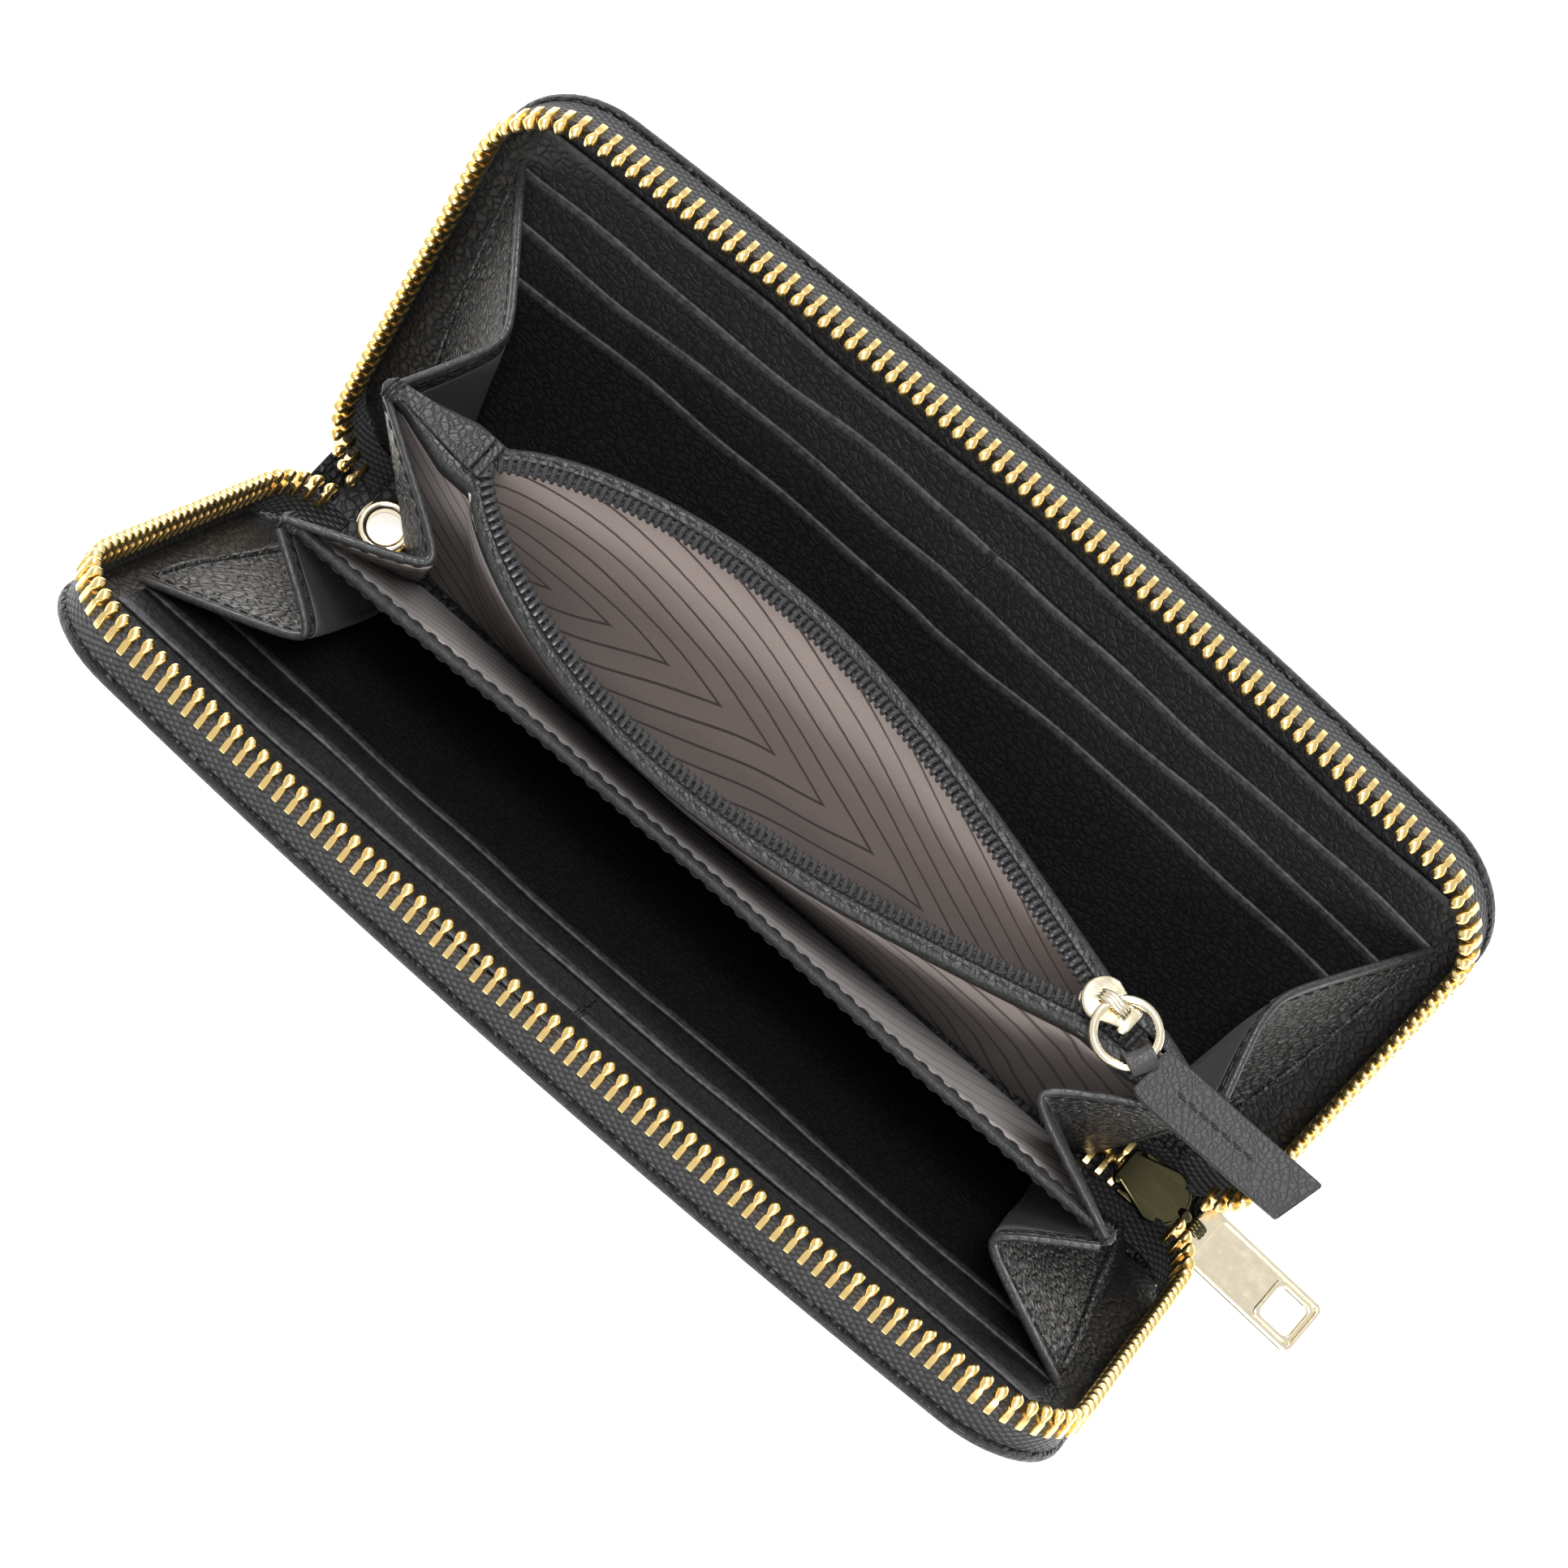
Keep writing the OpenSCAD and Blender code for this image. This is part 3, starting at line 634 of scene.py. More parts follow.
GROSGRAIN = weave("grosgrain", (0.005, 0.005, 0.0055), (0.050, 0.050, 0.052), 0.5, 90.0, 0.95, 0.3)
TAUPE, TAUPE_DEEP, LINE_BROWN = (0.40, 0.335, 0.312), (0.28, 0.232, 0.215), (0.050, 0.030, 0.022)
LINING = twill("pocket_lining", TAUPE_DEEP, TAUPE, LINE_BROWN, 1.5, 11.0, 30.0)
LINING_FLAT = twill("divider_lining", TAUPE_DEEP, TAUPE, LINE_BROWN, 0.6, 7.0, 0.0)
TEETH = metal("zip_teeth", (0.96, 0.72, 0.31), (0.80, 0.49, 0.14), 0.2)
GOLD = metal("pale_gold", (0.93, 0.84, 0.64), (0.88, 0.77, 0.55), 0.13, 0.003)
DEEP_GOLD = metal("deep_gold", (0.075, 0.068, 0.034), (0.045, 0.04, 0.018), 0.12, 0.003)
NYLON = plain(
    "nylon_coil", (0.020, 0.020, 0.022), 0.32, 1500.0, 0.01, Coat_Weight=0.15, Coat_Roughness=0.3
)
THREAD = thread("thread", (0.004, 0.004, 0.0045), (0.028, 0.028, 0.030))
BOARD = plain("board", (0.16, 0.15, 0.14), 0.85, 1200.0, 0.03)


# ---------------------------------------------------------------- putting pieces in


def on_cover(obj, side, slot, *nodes):
    return between(obj, "spine", BODY[side], slot, *nodes)


def between(obj, a, b, slot, *nodes):
    """A piece whose points carry their share of a turn between two bodies. The shares are read, but
    the piece is left unattached and does not turn.
    """
    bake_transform(obj)
    values = np.zeros(len(obj.data.vertices), np.float32)
    obj.data.attributes["share"].data.foreach_get("value", values)
    return settle(obj, nodes)


def on_body(obj, body, slot, *nodes):
    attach(obj, body)
    return settle(obj, nodes)


def settle(obj, nodes):
    if nodes:
        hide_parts(*nodes)
    return obj


# ---------------------------------------------------------------- covers


def outline_half(inset, h):
    """Half the width of a cover at a height, drawn in by an inset."""
    foot = HALF_L - FOOT_R + math.sqrt(max(FOOT_R**2 - max(FOOT_H + FOOT_R - h, 0) ** 2, 0.04))
    return (foot if h < FOOT_H + FOOT_R else HALF_L) - inset


def panel(shape, side, rings, heights, cols=72, corner=12):
    """A closed layer of a cover. Rings are (inset, depth) from its outer to its inner face."""
    angles = np.linspace(0, math.pi / 2, corner + 1)

    def rows(inset, d):
        found = [(outline_half(inset, h), h) for h in heights]
        r = CORNER_R - inset
        for a in angles[1:]:
            found.append((HALF_L - CORNER_R + r * math.cos(a), TOP_STRAIGHT + r * math.sin(a)))
        u = np.linspace(-1, 1, cols + 1)
        return np.stack([cover_xyz(side, u * w, np.full(cols + 1, h), d) for w, h in found])

    faces_of = [rows(*ring) for ring in rings]
    n, m = faces_of[0].shape[:2]
    left, top = [(j, 0) for j in range(n)], [(n - 1, i) for i in range(1, cols)]
    border = left + top + [(j, cols) for j in range(n - 1, -1, -1)]
    U = np.linspace(-HALF_L, HALF_L, m)
    V = np.concatenate([heights, TOP_STRAIGHT + CORNER_R * np.sin(angles[1:])])
    uv = both(U, V[:, None])
    for surface in (faces_of[0], faces_of[-1]):
        shape.add(surface, grid_faces(n, m), uv, 0.0, cover_share(side, surface))
    strips = np.stack([[ring[j, i] for j, i in border] for ring in faces_of])
    b = len(border)
    # the rounded rim of the turned leather is painted lighter: partly wear, partly a painted
    # highlight
    wear = np.zeros((len(rings), b))
    if len(rings) > 3:
        wear[2:5] = 0.8
    s = lengths(strips[0])
    suv = both(s, np.linspace(0, 3, len(rings))[:, None])
    shape.add(strips, grid_faces(len(rings), b), suv, wear, cover_share(side, strips))
    foot = np.stack([faces_of[0][0], faces_of[-1][0]])
    shape.add(foot, grid_faces(2, m), None, 0.0, cover_share(side, foot))
    for c in (0, cols):
        end = np.stack([ring[0, c] for ring in faces_of])
        if len(end) > 2:
            shape.add(end, [list(range(len(end)))], None, 0.0, cover_share(side, end))
    return shape


def outline_path(inset, step=1.5, foot=10.0):
    """Points (x, h) round a cover's edge, drawn in by an inset."""
    r = CORNER_R - inset
    left = [(-(HALF_L - inset), h) for h in np.arange(foot, TOP_STRAIGHT, step)]
    arc = [
        (-(HALF_L - CORNER_R) - r * math.cos(a), TOP_STRAIGHT + r * math.sin(a))
        for a in np.linspace(0, math.pi / 2, 14)
    ]
    xs = HALF_L - CORNER_R
    over = [(x, COVER_H - inset) for x in np.linspace(-xs, xs, 120)[1:-1]]
    right = [(-x, h) for x, h in reversed(left + arc)]
    return np.array(left + arc + over + right)


RIM = [  # the leather's section, turned over the cover's edge, as (inset, depth)
    (1.1, 0.0), (0.62, 0.05), (0.22, 0.3), (0.03, 0.75), (0.0, 1.15), (0.12, 1.6),
    (0.4, 1.92), (0.8, 2.02), (1.2, 1.9), (1.5, 1.6), (1.6, 1.25),
]
LOW = [0.35, 1.1, 1.9, 2.6, 3.6, 4.8, 6.2, 7.6, 9.0]
HEIGHTS = np.concatenate([LOW, np.linspace(12, TOP_STRAIGHT, 22)])

for side in (BACK, FRONT):
    name = NAMES[side]
    s = panel(Shape(), side, RIM, HEIGHTS)
    skin = s.make(f"{name}_cover_leather_skin", OUTER)
    on_cover(skin, side, "outer_leather", f"{name}_cover_leather")
    s = panel(Shape(), side, [(3.0, 1.3), (3.0, 1.98)], HEIGHTS[4:], 36, 8)
    on_cover(s.make(f"{name}_cover_board_core", BOARD), side, "board", f"{name}_cover_board")
    s = panel(Shape(), side, [(1.33, 2.02), (1.33, 2.48)], HEIGHTS[3:])
    skin = s.make(f"{name}_cover_lining_skin", INNER)
    on_cover(skin, side, "inner_leather", f"{name}_cover_lining")
    path = outline_path(3.4)
    p = cover_xyz(side, path[:, 0], path[:, 1], 0.0)
    out = cover_xyz(side, path[:, 0], path[:, 1], -1.0) - p
    s = Shape()
    stitches(s, p, out, share=cover_share(side, p), skew=0.25)
    on_cover(s.make(f"{name}_cover_edge_stitches", THREAD), side, None)


# ---------------------------------------------------------------- main zip


def tape_ring():
    """Section of the zip's tape: across it and through it, with the cord at its inner edge."""
    turns = np.radians([-120, -70, -25, 25, 70, 120])
    cord = [(7.15 + 0.5 * math.cos(a), 0.5 * math.sin(a)) for a in turns]
    far = [(x, 0.26) for x in (6.4, 5.2, 4.0, 2.8, 1.55)]
    near = [(x, -0.26) for x in (1.55, 2.8, 4.0, 5.2, 6.4)]
    return np.array(near + cord + far)


def tooth():
    """Rings of one tooth: legs, waist and round head, as (along, across, through)."""
    across = [5.55, 5.62, 5.85, 7.6, 7.95, 8.2, 8.5, 8.95, 9.45, 9.85, 10.12, 10.25]
    wide = [0.42, 0.52, 0.56, 0.54, 0.48, 0.40, 0.60, 0.84, 0.88, 0.74, 0.48, 0.16]
    deep = [1.00, 1.15, 1.24, 1.26, 1.22, 1.16, 1.15, 1.14, 1.08, 0.94, 0.70, 0.35]
    power = [9, 9, 9, 9, 8, 5, 3.2, 2.8, 2.6, 2.5, 2.4, 2.2]
    t = np.radians([0, 22, 45, 68, 90, 112, 135, 158, 180, 202, 225, 248, 270, 292, 315, 338])
    rings = []
    for a, w, dd, k in zip(across, wide, deep, power):
        c, q = np.cos(t), np.sin(t)
        x = w * np.sign(c) * np.abs(c) ** (2 / k)
        z = dd * np.sign(q) * np.abs(q) ** (2 / k)
        rings.append(np.stack([x, np.full_like(x, a), z], -1))
    return np.array(rings)


TAPE_RING, TOOTH = tape_ring(), tooth()
SLIDER_INSIDE = (76.8, 88.6)  # where along x the main slider's plates hide the teeth
for side in (BACK, FRONT):
    name = NAMES[side]
    along = np.arange(-END_L * 0.985, TRACK + END_L + 9, 1.1)
    p, w = row_point(side, along[:, None], TAPE_RING[None, :, 0], TAPE_RING[None, :, 1])
    uv = both(along[:, None], lengths(TAPE_RING))
    s = loft(Shape(), p, uv, 0.0, w.ravel())
    ends = ("zip_end_tape_left", "zip_end_tape_right") if side == FRONT else ()
    ribbon = s.make(f"{name}_zip_tape_ribbon", TAPE)
    on_cover(ribbon, side, "zip_tape", f"{name}_zip_tape", *ends)
    first = 0.25 if side == BACK else 0.75
    s = Shape()
    for k in range(-7, 144):
        place = (k + first) * PITCH
        if place < -END_L * 0.80 or place > TRACK + END_L + 13:
            continue
        p, w = row_point(side, place + TOOTH[..., 0], TOOTH[..., 1], TOOTH[..., 2])
        if place > TRACK and SLIDER_INSIDE[0] < p[..., 0].mean() < SLIDER_INSIDE[1]:
            continue
        w = np.broadcast_to(w.mean(), w.shape).ravel()
        loft(s, p, None, 0.0, w)
    ends = ("zip_end_teeth_left", "zip_end_teeth_right", "zip_chain_right") if side == FRONT else ()
    row = s.make(f"{name}_zip_teeth_row", TEETH, weld=False)
    on_cover(row, side, "zip_teeth", f"{name}_zip_teeth", *ends)

s = Shape()
for side in (BACK, FRONT):
    for k in range(2):
        x = -(72.6 - k * PITCH - (0 if side == BACK else PITCH / 2))
        y = side * (HALF_S - 1.0 - TOOTH[..., 1]) + side * 0.05
        loft(s, np.stack([x + TOOTH[..., 0], y, 3.35 + TOOTH[..., 2]], -1))
on_body(s.make("zip_chain_left_teeth", TEETH, weld=False), "spine", "zip_teeth", "zip_chain_left")


# ---------------------------------------------------------------- card pockets


def pocket_half(h):
    return 84.6 + 0.055 * h


def pocket_sheet(side, k):
    """The slip pocket (0) or a card row (1 to 3), as a sheet with a turned top edge."""
    top = SLIP_H - k * ROW_STEP
    v = np.concatenate([np.linspace(0, 0.84, 12), np.linspace(0.86, 1, 10)])
    foot = 6.0
    u = np.linspace(-1, 1, 97)
    uu, vv = np.meshgrid(u, v)
    seed = k + (0.5 if side == BACK else 4.2)
    x0 = uu * pocket_half(top)
    lift = 0.75 * ripple(x0, seed) * smooth(vv * 3 - 2)
    h = foot + (top - foot) * vv + lift
    x = uu * pocket_half(h)
    wavy = 0.6 + 0.4 * ripple(x0 * 0.8, seed + 3)
    sag = (0.95 - 0.12 * k) * (1 - uu**2) ** 0.5 * wavy * smooth(vv * 2.4 - 1.4)
    if k > 0:
        sag = sag * (1 - 0.8 * np.exp(-((x0 - 2) / 5) ** 2))
        h = h - 0.5 * np.exp(-((x0 - 2) / 3.5) ** 2) * smooth(vv * 3 - 2)
    d = 2.5 + SHEET_T * (k + 0.5) + sag + 0.03
    bead = 0.34 * smooth(1 - np.abs((1 - vv) * (top - foot) - 0.6) / 1.1)
    return cover_xyz(side, x, h, d), SHEET_T * 0.9 + bead, x, h, d


for side in (BACK, FRONT):
    name = NAMES[side]
    for k in range(4):
        P, thick, x, h, d = pocket_sheet(side, k)
        # the turned top edge of each sheet is painted lighter: partly wear, partly a painted
        # highlight
        s = sheet(Shape(), P, thick, cover_share(side, P), wear_rows=1.3)
        node = f"{name}_slip_pocket" if k == 0 else f"{name}_card_row_{k}"
        on_cover(s.make(f"{node}_sheet", INNER), side, "inner_leather", node)
    P, thick, x, h, d = pocket_sheet(side, 1)
    s = Shape()
    hs = np.linspace(SLIP_H - 2 * ROW_STEP + 0.6, SLIP_H - ROW_STEP - 0.4, 9)
    seam = cover_xyz(side, 2.0, hs, 2.5 + 2.1 * SHEET_T + 0.25)
    out = cover_xyz(side, 2.0, hs, 5.0) - cover_xyz(side, 2.0, hs, 4.0)
    stitches(s, seam, out, 2.4, 0.7, 0.2, cover_share(side, seam), 0.3)
    for dy in (0.0, 0.5, 1.0):
        hh = SLIP_H - ROW_STEP - 0.5 + np.array([-0.9, -0.3, 0.4, 0.9, 1.3])
        dd = np.array([3.9, 4.15, 4.1, 3.5, 3.15])
        tack = cover_xyz(side, 1.5 + dy, hh, dd)
        tube(s, tack, 0.2, 6, share=cover_share(side, tack))
    on_cover(s.make(f"{name}_pocket_seam", THREAD), side, None)


# ---------------------------------------------------------------- gussets

COIN_C = -1.9
DIVIDER_Y, DIVIDER_Z, DIVIDER_LEAN = -3.8, 3.0, math.radians(18)


def cover_edge(side, end, v):
    """The line where a gusset is sewn to a cover."""
    top, x1 = (69.8, 88.9) if side == BACK else (62.5, 89.0)
    h = 4.5 + (top - 4.5) * v
    x = 82.5 + (x1 - 82.5) * v
    d = 3.35 + 2.0 * smooth((70 - h) / 18) + 0.6
    return cover_xyz(side, end * x, h, d)


def line(a, b, v, end):
    a, b = np.array(a, float), np.array(b, float)
    p = a + (b - a) * v[..., None]
    return p * np.array([end, 1, 1])


def gusset_lines(k, end, v):
    """The two edges and the valley of a gusset, at heights v from 0 to 1."""
    left = end < 0
    v = np.asarray(v, float)
    if k == 0:
        return (
            cover_edge(BACK, end, v),
            line((72.0, 5.8, 4.2), (70.6 if left else 75.4, 16.6, 70), v, end),
            line((70, -0.2, 4.0), (77.6 if left else 80.2, -1.4, 75.6), v, end),
        )
    if k == 1:
        return (
            line((70, -2.2, 4.0), (77.8 if left else 80.4, -3.2, 75.6), v, end),
            line((67.5, -3.6, 4.2), (53.8 if left else 57.2, -17.4, 73), v, end),
            line((71, -5.0, 4.0), (76.4 if left else 80.2, -26.2, 71), v, end),
        )
    return (
        line((71, -6.2, 4.0), (76.2 if left else 80.4, -27.9, 71), v, end),
        line((66, -8.4, 4.2), (60.6 if left else 66.2, -37.0, 68), v, end),
        cover_edge(FRONT, end, v),
    )


SHARES = {0: (1.0, 0.42, 0.0), 1: (0.0, 0.62, 1.0), 2: (0.46, 0.64, 1.0)}
PARTNER = {0: "back_cover", 1: "divider", 2: "front_cover"}
GUSSET_NAMES = {0: "back", 1: "middle", 2: "front"}


def valley(A, B, C, u, sharp):
    """A curve from A to C that turns round near B."""
    a, b, c = (1 - u) ** 2, 2 * sharp * u * (1 - u), u**2
    total = (a + b + c)[..., None]
    return (A * a[..., None] + B * b[..., None] + C * c[..., None]) / total


def gusset_surface(k, end, u, v, sharp=7.0):
    A, B, C = gusset_lines(k, end, v)
    P = valley(A, B, C, u, sharp)
    out = np.array([end, 0, 0.0])
    one, two = np.clip(2 * u, 0, 1), np.clip(2 * u - 1, 0, 1)
    swell = 0.9 * np.sin(math.pi * one) + 0.7 * np.sin(math.pi * two)
    wrinkles = 0.35 * ripple(v * 60 + u * 37, k + end)
    P = P + out * (swell * np.sin(math.pi * v) * 1.1 + wrinkles)[..., None]
    sa, sb, sc = SHARES[k]
    w = valley(*(np.full(u.shape + (1,), q) for q in (sa, sb, sc)), u, sharp)[..., 0]
    return P, w


def beside_edge(P, out, w, k, inset):
    """A line on a gusset's outer face that keeps a distance from the edge sewn to the cover."""
    points, shares = [], []
    for row, normals, values in zip(P, out, w):
        if k == 2:
            row, normals, values = row[::-1], normals[::-1], values[::-1]
        run = lengths(row)
        at = [np.interp(inset, run, row[:, i]) for i in range(3)]
        up = [np.interp(inset, run, normals[:, i]) for i in range(3)]
        points.append(np.array(at) + 0.42 * np.array(up))
        shares.append(np.interp(inset, run, values))
    return np.array(points), np.array(shares)


U_PARTS = (0, 0.16, 12), (0.2, 0.8, 25), (0.84, 1, 12)  # closer together at both edges
U_LINE = np.concatenate([np.linspace(*part) for part in U_PARTS])
V_LINE = np.concatenate([np.linspace(0, 0.9, 26), np.linspace(0.92, 1, 11)])
for end in (-1, 1):
    where = "left" if end < 0 else "right"
    for k in range(3):
        uu, vv = np.meshgrid(U_LINE, V_LINE)
        P, w = gusset_surface(k, end, uu, vv)
        bead = 0.4 * smooth(1 - np.abs((1 - vv) * 70 - 0.7) / 1.3)
        # the gusset's top edge is painted lighter: partly wear, partly a painted highlight
        s = sheet(Shape(), P, 0.95 + bead, w, wear_rows=0.7)
        node = f"gusset_{GUSSET_NAMES[k]}_{where}"
        du, dv = np.gradient(P, axis=1), np.gradient(P, axis=0)
        normal = np.cross(du, dv)
        normal /= np.linalg.norm(normal, axis=-1, keepdims=True)
        if k != 1:
            ridge, _ = beside_edge(P, normal * -end, w, k, 1.0)
            tube(s, ridge[:-5], 0.62, 8, share=beside_edge(P, normal, w, k, 1.0)[1][:-5])
        between(s.make(f"{node}_fold", GUSSET), "spine", PARTNER[k], "inner_leather", node)
        # the cloth on the face that looks into the compartment
        keep = (V_LINE > 0.04) & (V_LINE < 0.93)
        cloth = (P + end * normal * 0.6)[keep]
        s = sheet(Shape(), cloth, 0.2, w[keep], wear_rows=0)
        look = LINING_FLAT if k == 1 else GROSGRAIN
        between(s.make(f"{node}_lining", look), "spine", PARTNER[k], "lining_cloth")
        s = Shape()
        row = int(np.argmin(np.abs((1 - V_LINE) * 70 - 2.0)))
        for face in (1, -1):
            out = face * normal[row]
            stitches(s, P[row] + out * 0.55, out, 2.6, 0.7, 0.17, w[row], 0.25)
        if k != 1:
            seam, share = beside_edge(P, normal * -end, w, k, 2.7)
            stitches(s, seam[:-6], -end * normal[:-6, 3], 2.8, 0.8, 0.17, share[:-6], 0.25)
        between(s.make(f"{node}_stitches", THREAD), "spine", PARTNER[k], None)


# the piped seam that closes each side of the coin pocket, between two gussets
s = Shape()
for end in (-1, 1):
    v = np.linspace(0, 0.985, 24)
    _, _, foot = gusset_lines(0, end, v)
    head, _, _ = gusset_lines(1, end, v)
    tube(s, (foot + head) / 2 + np.array([end * 0.25, 0, 0]), 1.15, 10)
on_body(s.make("coin_pocket_side_seams", BAND), "spine", None)


# ---------------------------------------------------------------- spine

s = Shape()
outline = rounded(box(-SPINE_END, -10.2, SPINE_END, 10.2), 1.2)
t = circle(40)
hole = np.stack([EYELET_X + EYELET_R * np.cos(t), EYELET_R * np.sin(t)], -1)
points, faces = flat_plate([outline, hole], 1.5, 0.35)
s.add(points + [0, 0, 0.76], faces)
on_body(s.make("spine_leather_base", OUTER), "spine", "outer_leather", "spine_leather")
s = Shape()
outline = rounded(box(-86.5, -9.6, 86.5, 9.6), 2.0)
points, faces = flat_plate([outline, hole], 0.6, 0.15)
s.add(points + [0, 0, 1.8], faces)
on_body(s.make("spine_lining_strip", INNER), "spine", "inner_leather", "spine_lining")

s = Shape()
profile = [  # flange below, barrel and rolled flange above, as (radius, z)
    (3.0, 0.35), (3.15, 0.08), (3.6, 0.0), (4.1, 0.08), (4.2, 0.3), (3.9, 0.42),
    (3.42, 0.5), (3.38, 1.6), (3.42, 2.15), (4.2, 2.18), (4.58, 2.36), (4.66, 2.66),
    (4.4, 2.98), (3.85, 3.14), (3.3, 3.02), (3.0, 2.7), (2.98, 1.6),
]
lathe(s, profile, 64)
s.points[0] = s.points[0] + [EYELET_X, 0, 0]
on_body(s.make("strap_eyelet_ring", GOLD), "spine", "hardware", "strap_eyelet")


# ---------------------------------------------------------------- divider

CD, SD = math.cos(DIVIDER_LEAN), math.sin(DIVIDER_LEAN)


def divider_xyz(x, h, d):
    """A point of the divider: h up from its foot and d towards the back."""
    x, h, d = np.broadcast_arrays(np.asarray(x, float), np.asarray(h, float), np.asarray(d, float))
    return np.stack([x, DIVIDER_Y - h * SD + d * CD, DIVIDER_Z + h * CD + d * SD], -1)


def divider_surface(d, top, inset=0.0):
    v = np.concatenate([np.linspace(0, 0.9, 18), np.linspace(0.92, 1, 9)])
    uu, vv = np.meshgrid(np.linspace(-1, 1, 73), v)
    h = 0.8 + (top - 0.8) * vv
    left, right = 66 + 9.6 * vv - inset, 66 + 13.6 * vv - inset
    x = np.where(uu < 0, uu * left, uu * right)
    wave = 0.25 * ripple(x * 0.9, 2.2) + 0.7 * np.cos(x / 34)
    wave = wave * smooth(vv * 1.6 - 0.4) * (1 - uu**4)
    return divider_xyz(x, h, d + wave)


s = sheet(Shape(), divider_surface(-0.35, 69.6), 0.7, wear_rows=0)
on_body(s.make("divider_panel_leather", GUSSET), "divider", "inner_leather", "divider_panel")
s = sheet(Shape(), divider_surface(0.2, 69.4), 0.4, wear_rows=0)
on_body(s.make("divider_lining_cloth", LINING_FLAT), "divider", "lining_cloth", "divider_lining")
s = Shape()
P = divider_surface(0.0, 70.4)
rim = P[-1]
section = [  # the binding folded over the divider's top edge
    (-0.75, -2.4), (-0.95, -2.0), (-0.95, -0.6), (-0.75, -0.1), (-0.3, 0.25),
    (0.25, 0.25), (0.65, -0.1), (0.8, -0.6), (0.8, -2.0), (0.6, -2.4),
]
rings = np.stack([rim + np.array([0, a * CD - b * SD, a * SD + b * CD]) for a, b in section], 1)
s_uv = both(lengths(rim)[:, None], lengths(np.array(section)))
# the binding's rounded top is painted lighter: partly wear, partly a painted highlight
wear = np.tile([0, 0, 0.1, 0.6, 0.4, 0.4, 0.6, 0.1, 0, 0.0], len(rim))
loft(s, rings, s_uv, wear)
on_body(s.make("divider_binding_edge", BAND), "divider", "inner_leather", "divider_binding")
s = Shape()
for face, off in ((-1, -0.97), (1, 0.82)):
    p = rim + np.array([0, off * CD + 1.6 * SD, off * SD - 1.6 * CD])
    stitches(s, p[1:-1], np.array([0, face * CD, face * SD]), 2.8, 0.8, 0.2, skew=0.25)
on_body(s.make("divider_stitches", THREAD), "divider", None)


# ---------------------------------------------------------------- coin pocket

MOUTH_END, MOUTH_Z = 58.5, 76.0


def lens(x):
    q = np.clip((x + MOUTH_END) / (2 * MOUTH_END), 0, 1)
    return np.sin(math.pi * q**0.756)


def coin_y(side, x, share, out):
    """y of the coin pocket: share is 0 at its foot and 1 at its mouth, out is outwards from the
    mouth's edge."""
    reach = 13.2 if side == BACK else 14.2
    middle = (-1.6 - 0.009 * (x + MOUTH_END)) * share - 0.3
    return middle + side * (out + reach * lens(x) * share)


def coin_sheet(side, z0, z1, out, seed, bulge, half0=68.0, left=77.6, right=80.4):
    """A wall of the coin pocket: half0 is half its width at the foot, left and right at the
    mouth."""
    uu, vv = np.meshgrid(np.linspace(-1, 1, 97), np.linspace(0, 1, 30))
    z = z0 + (z1 - z0) * vv
    share = z / MOUTH_Z
    half = half0 + (np.where(uu < 0, left, right) - half0) * share
    x = uu * half
    waves = ripple(x + z * 0.35, seed) + 0.5 * ripple(z * 1.7 - x * 0.4, seed + 1)
    fold = bulge * waves * np.sin(math.pi * np.clip(share, 0, 1)) ** 0.7
    wide = np.clip((half - np.abs(x)) / 16, 0, 1)
    y = coin_y(side, x, share, out(share, wide)) + fold * wide
    return np.stack([x, y, z], -1)


def squashed(obj, slot, *nodes):
    on_body(obj, "spine", slot, *nodes)
    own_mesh(obj)
    return obj


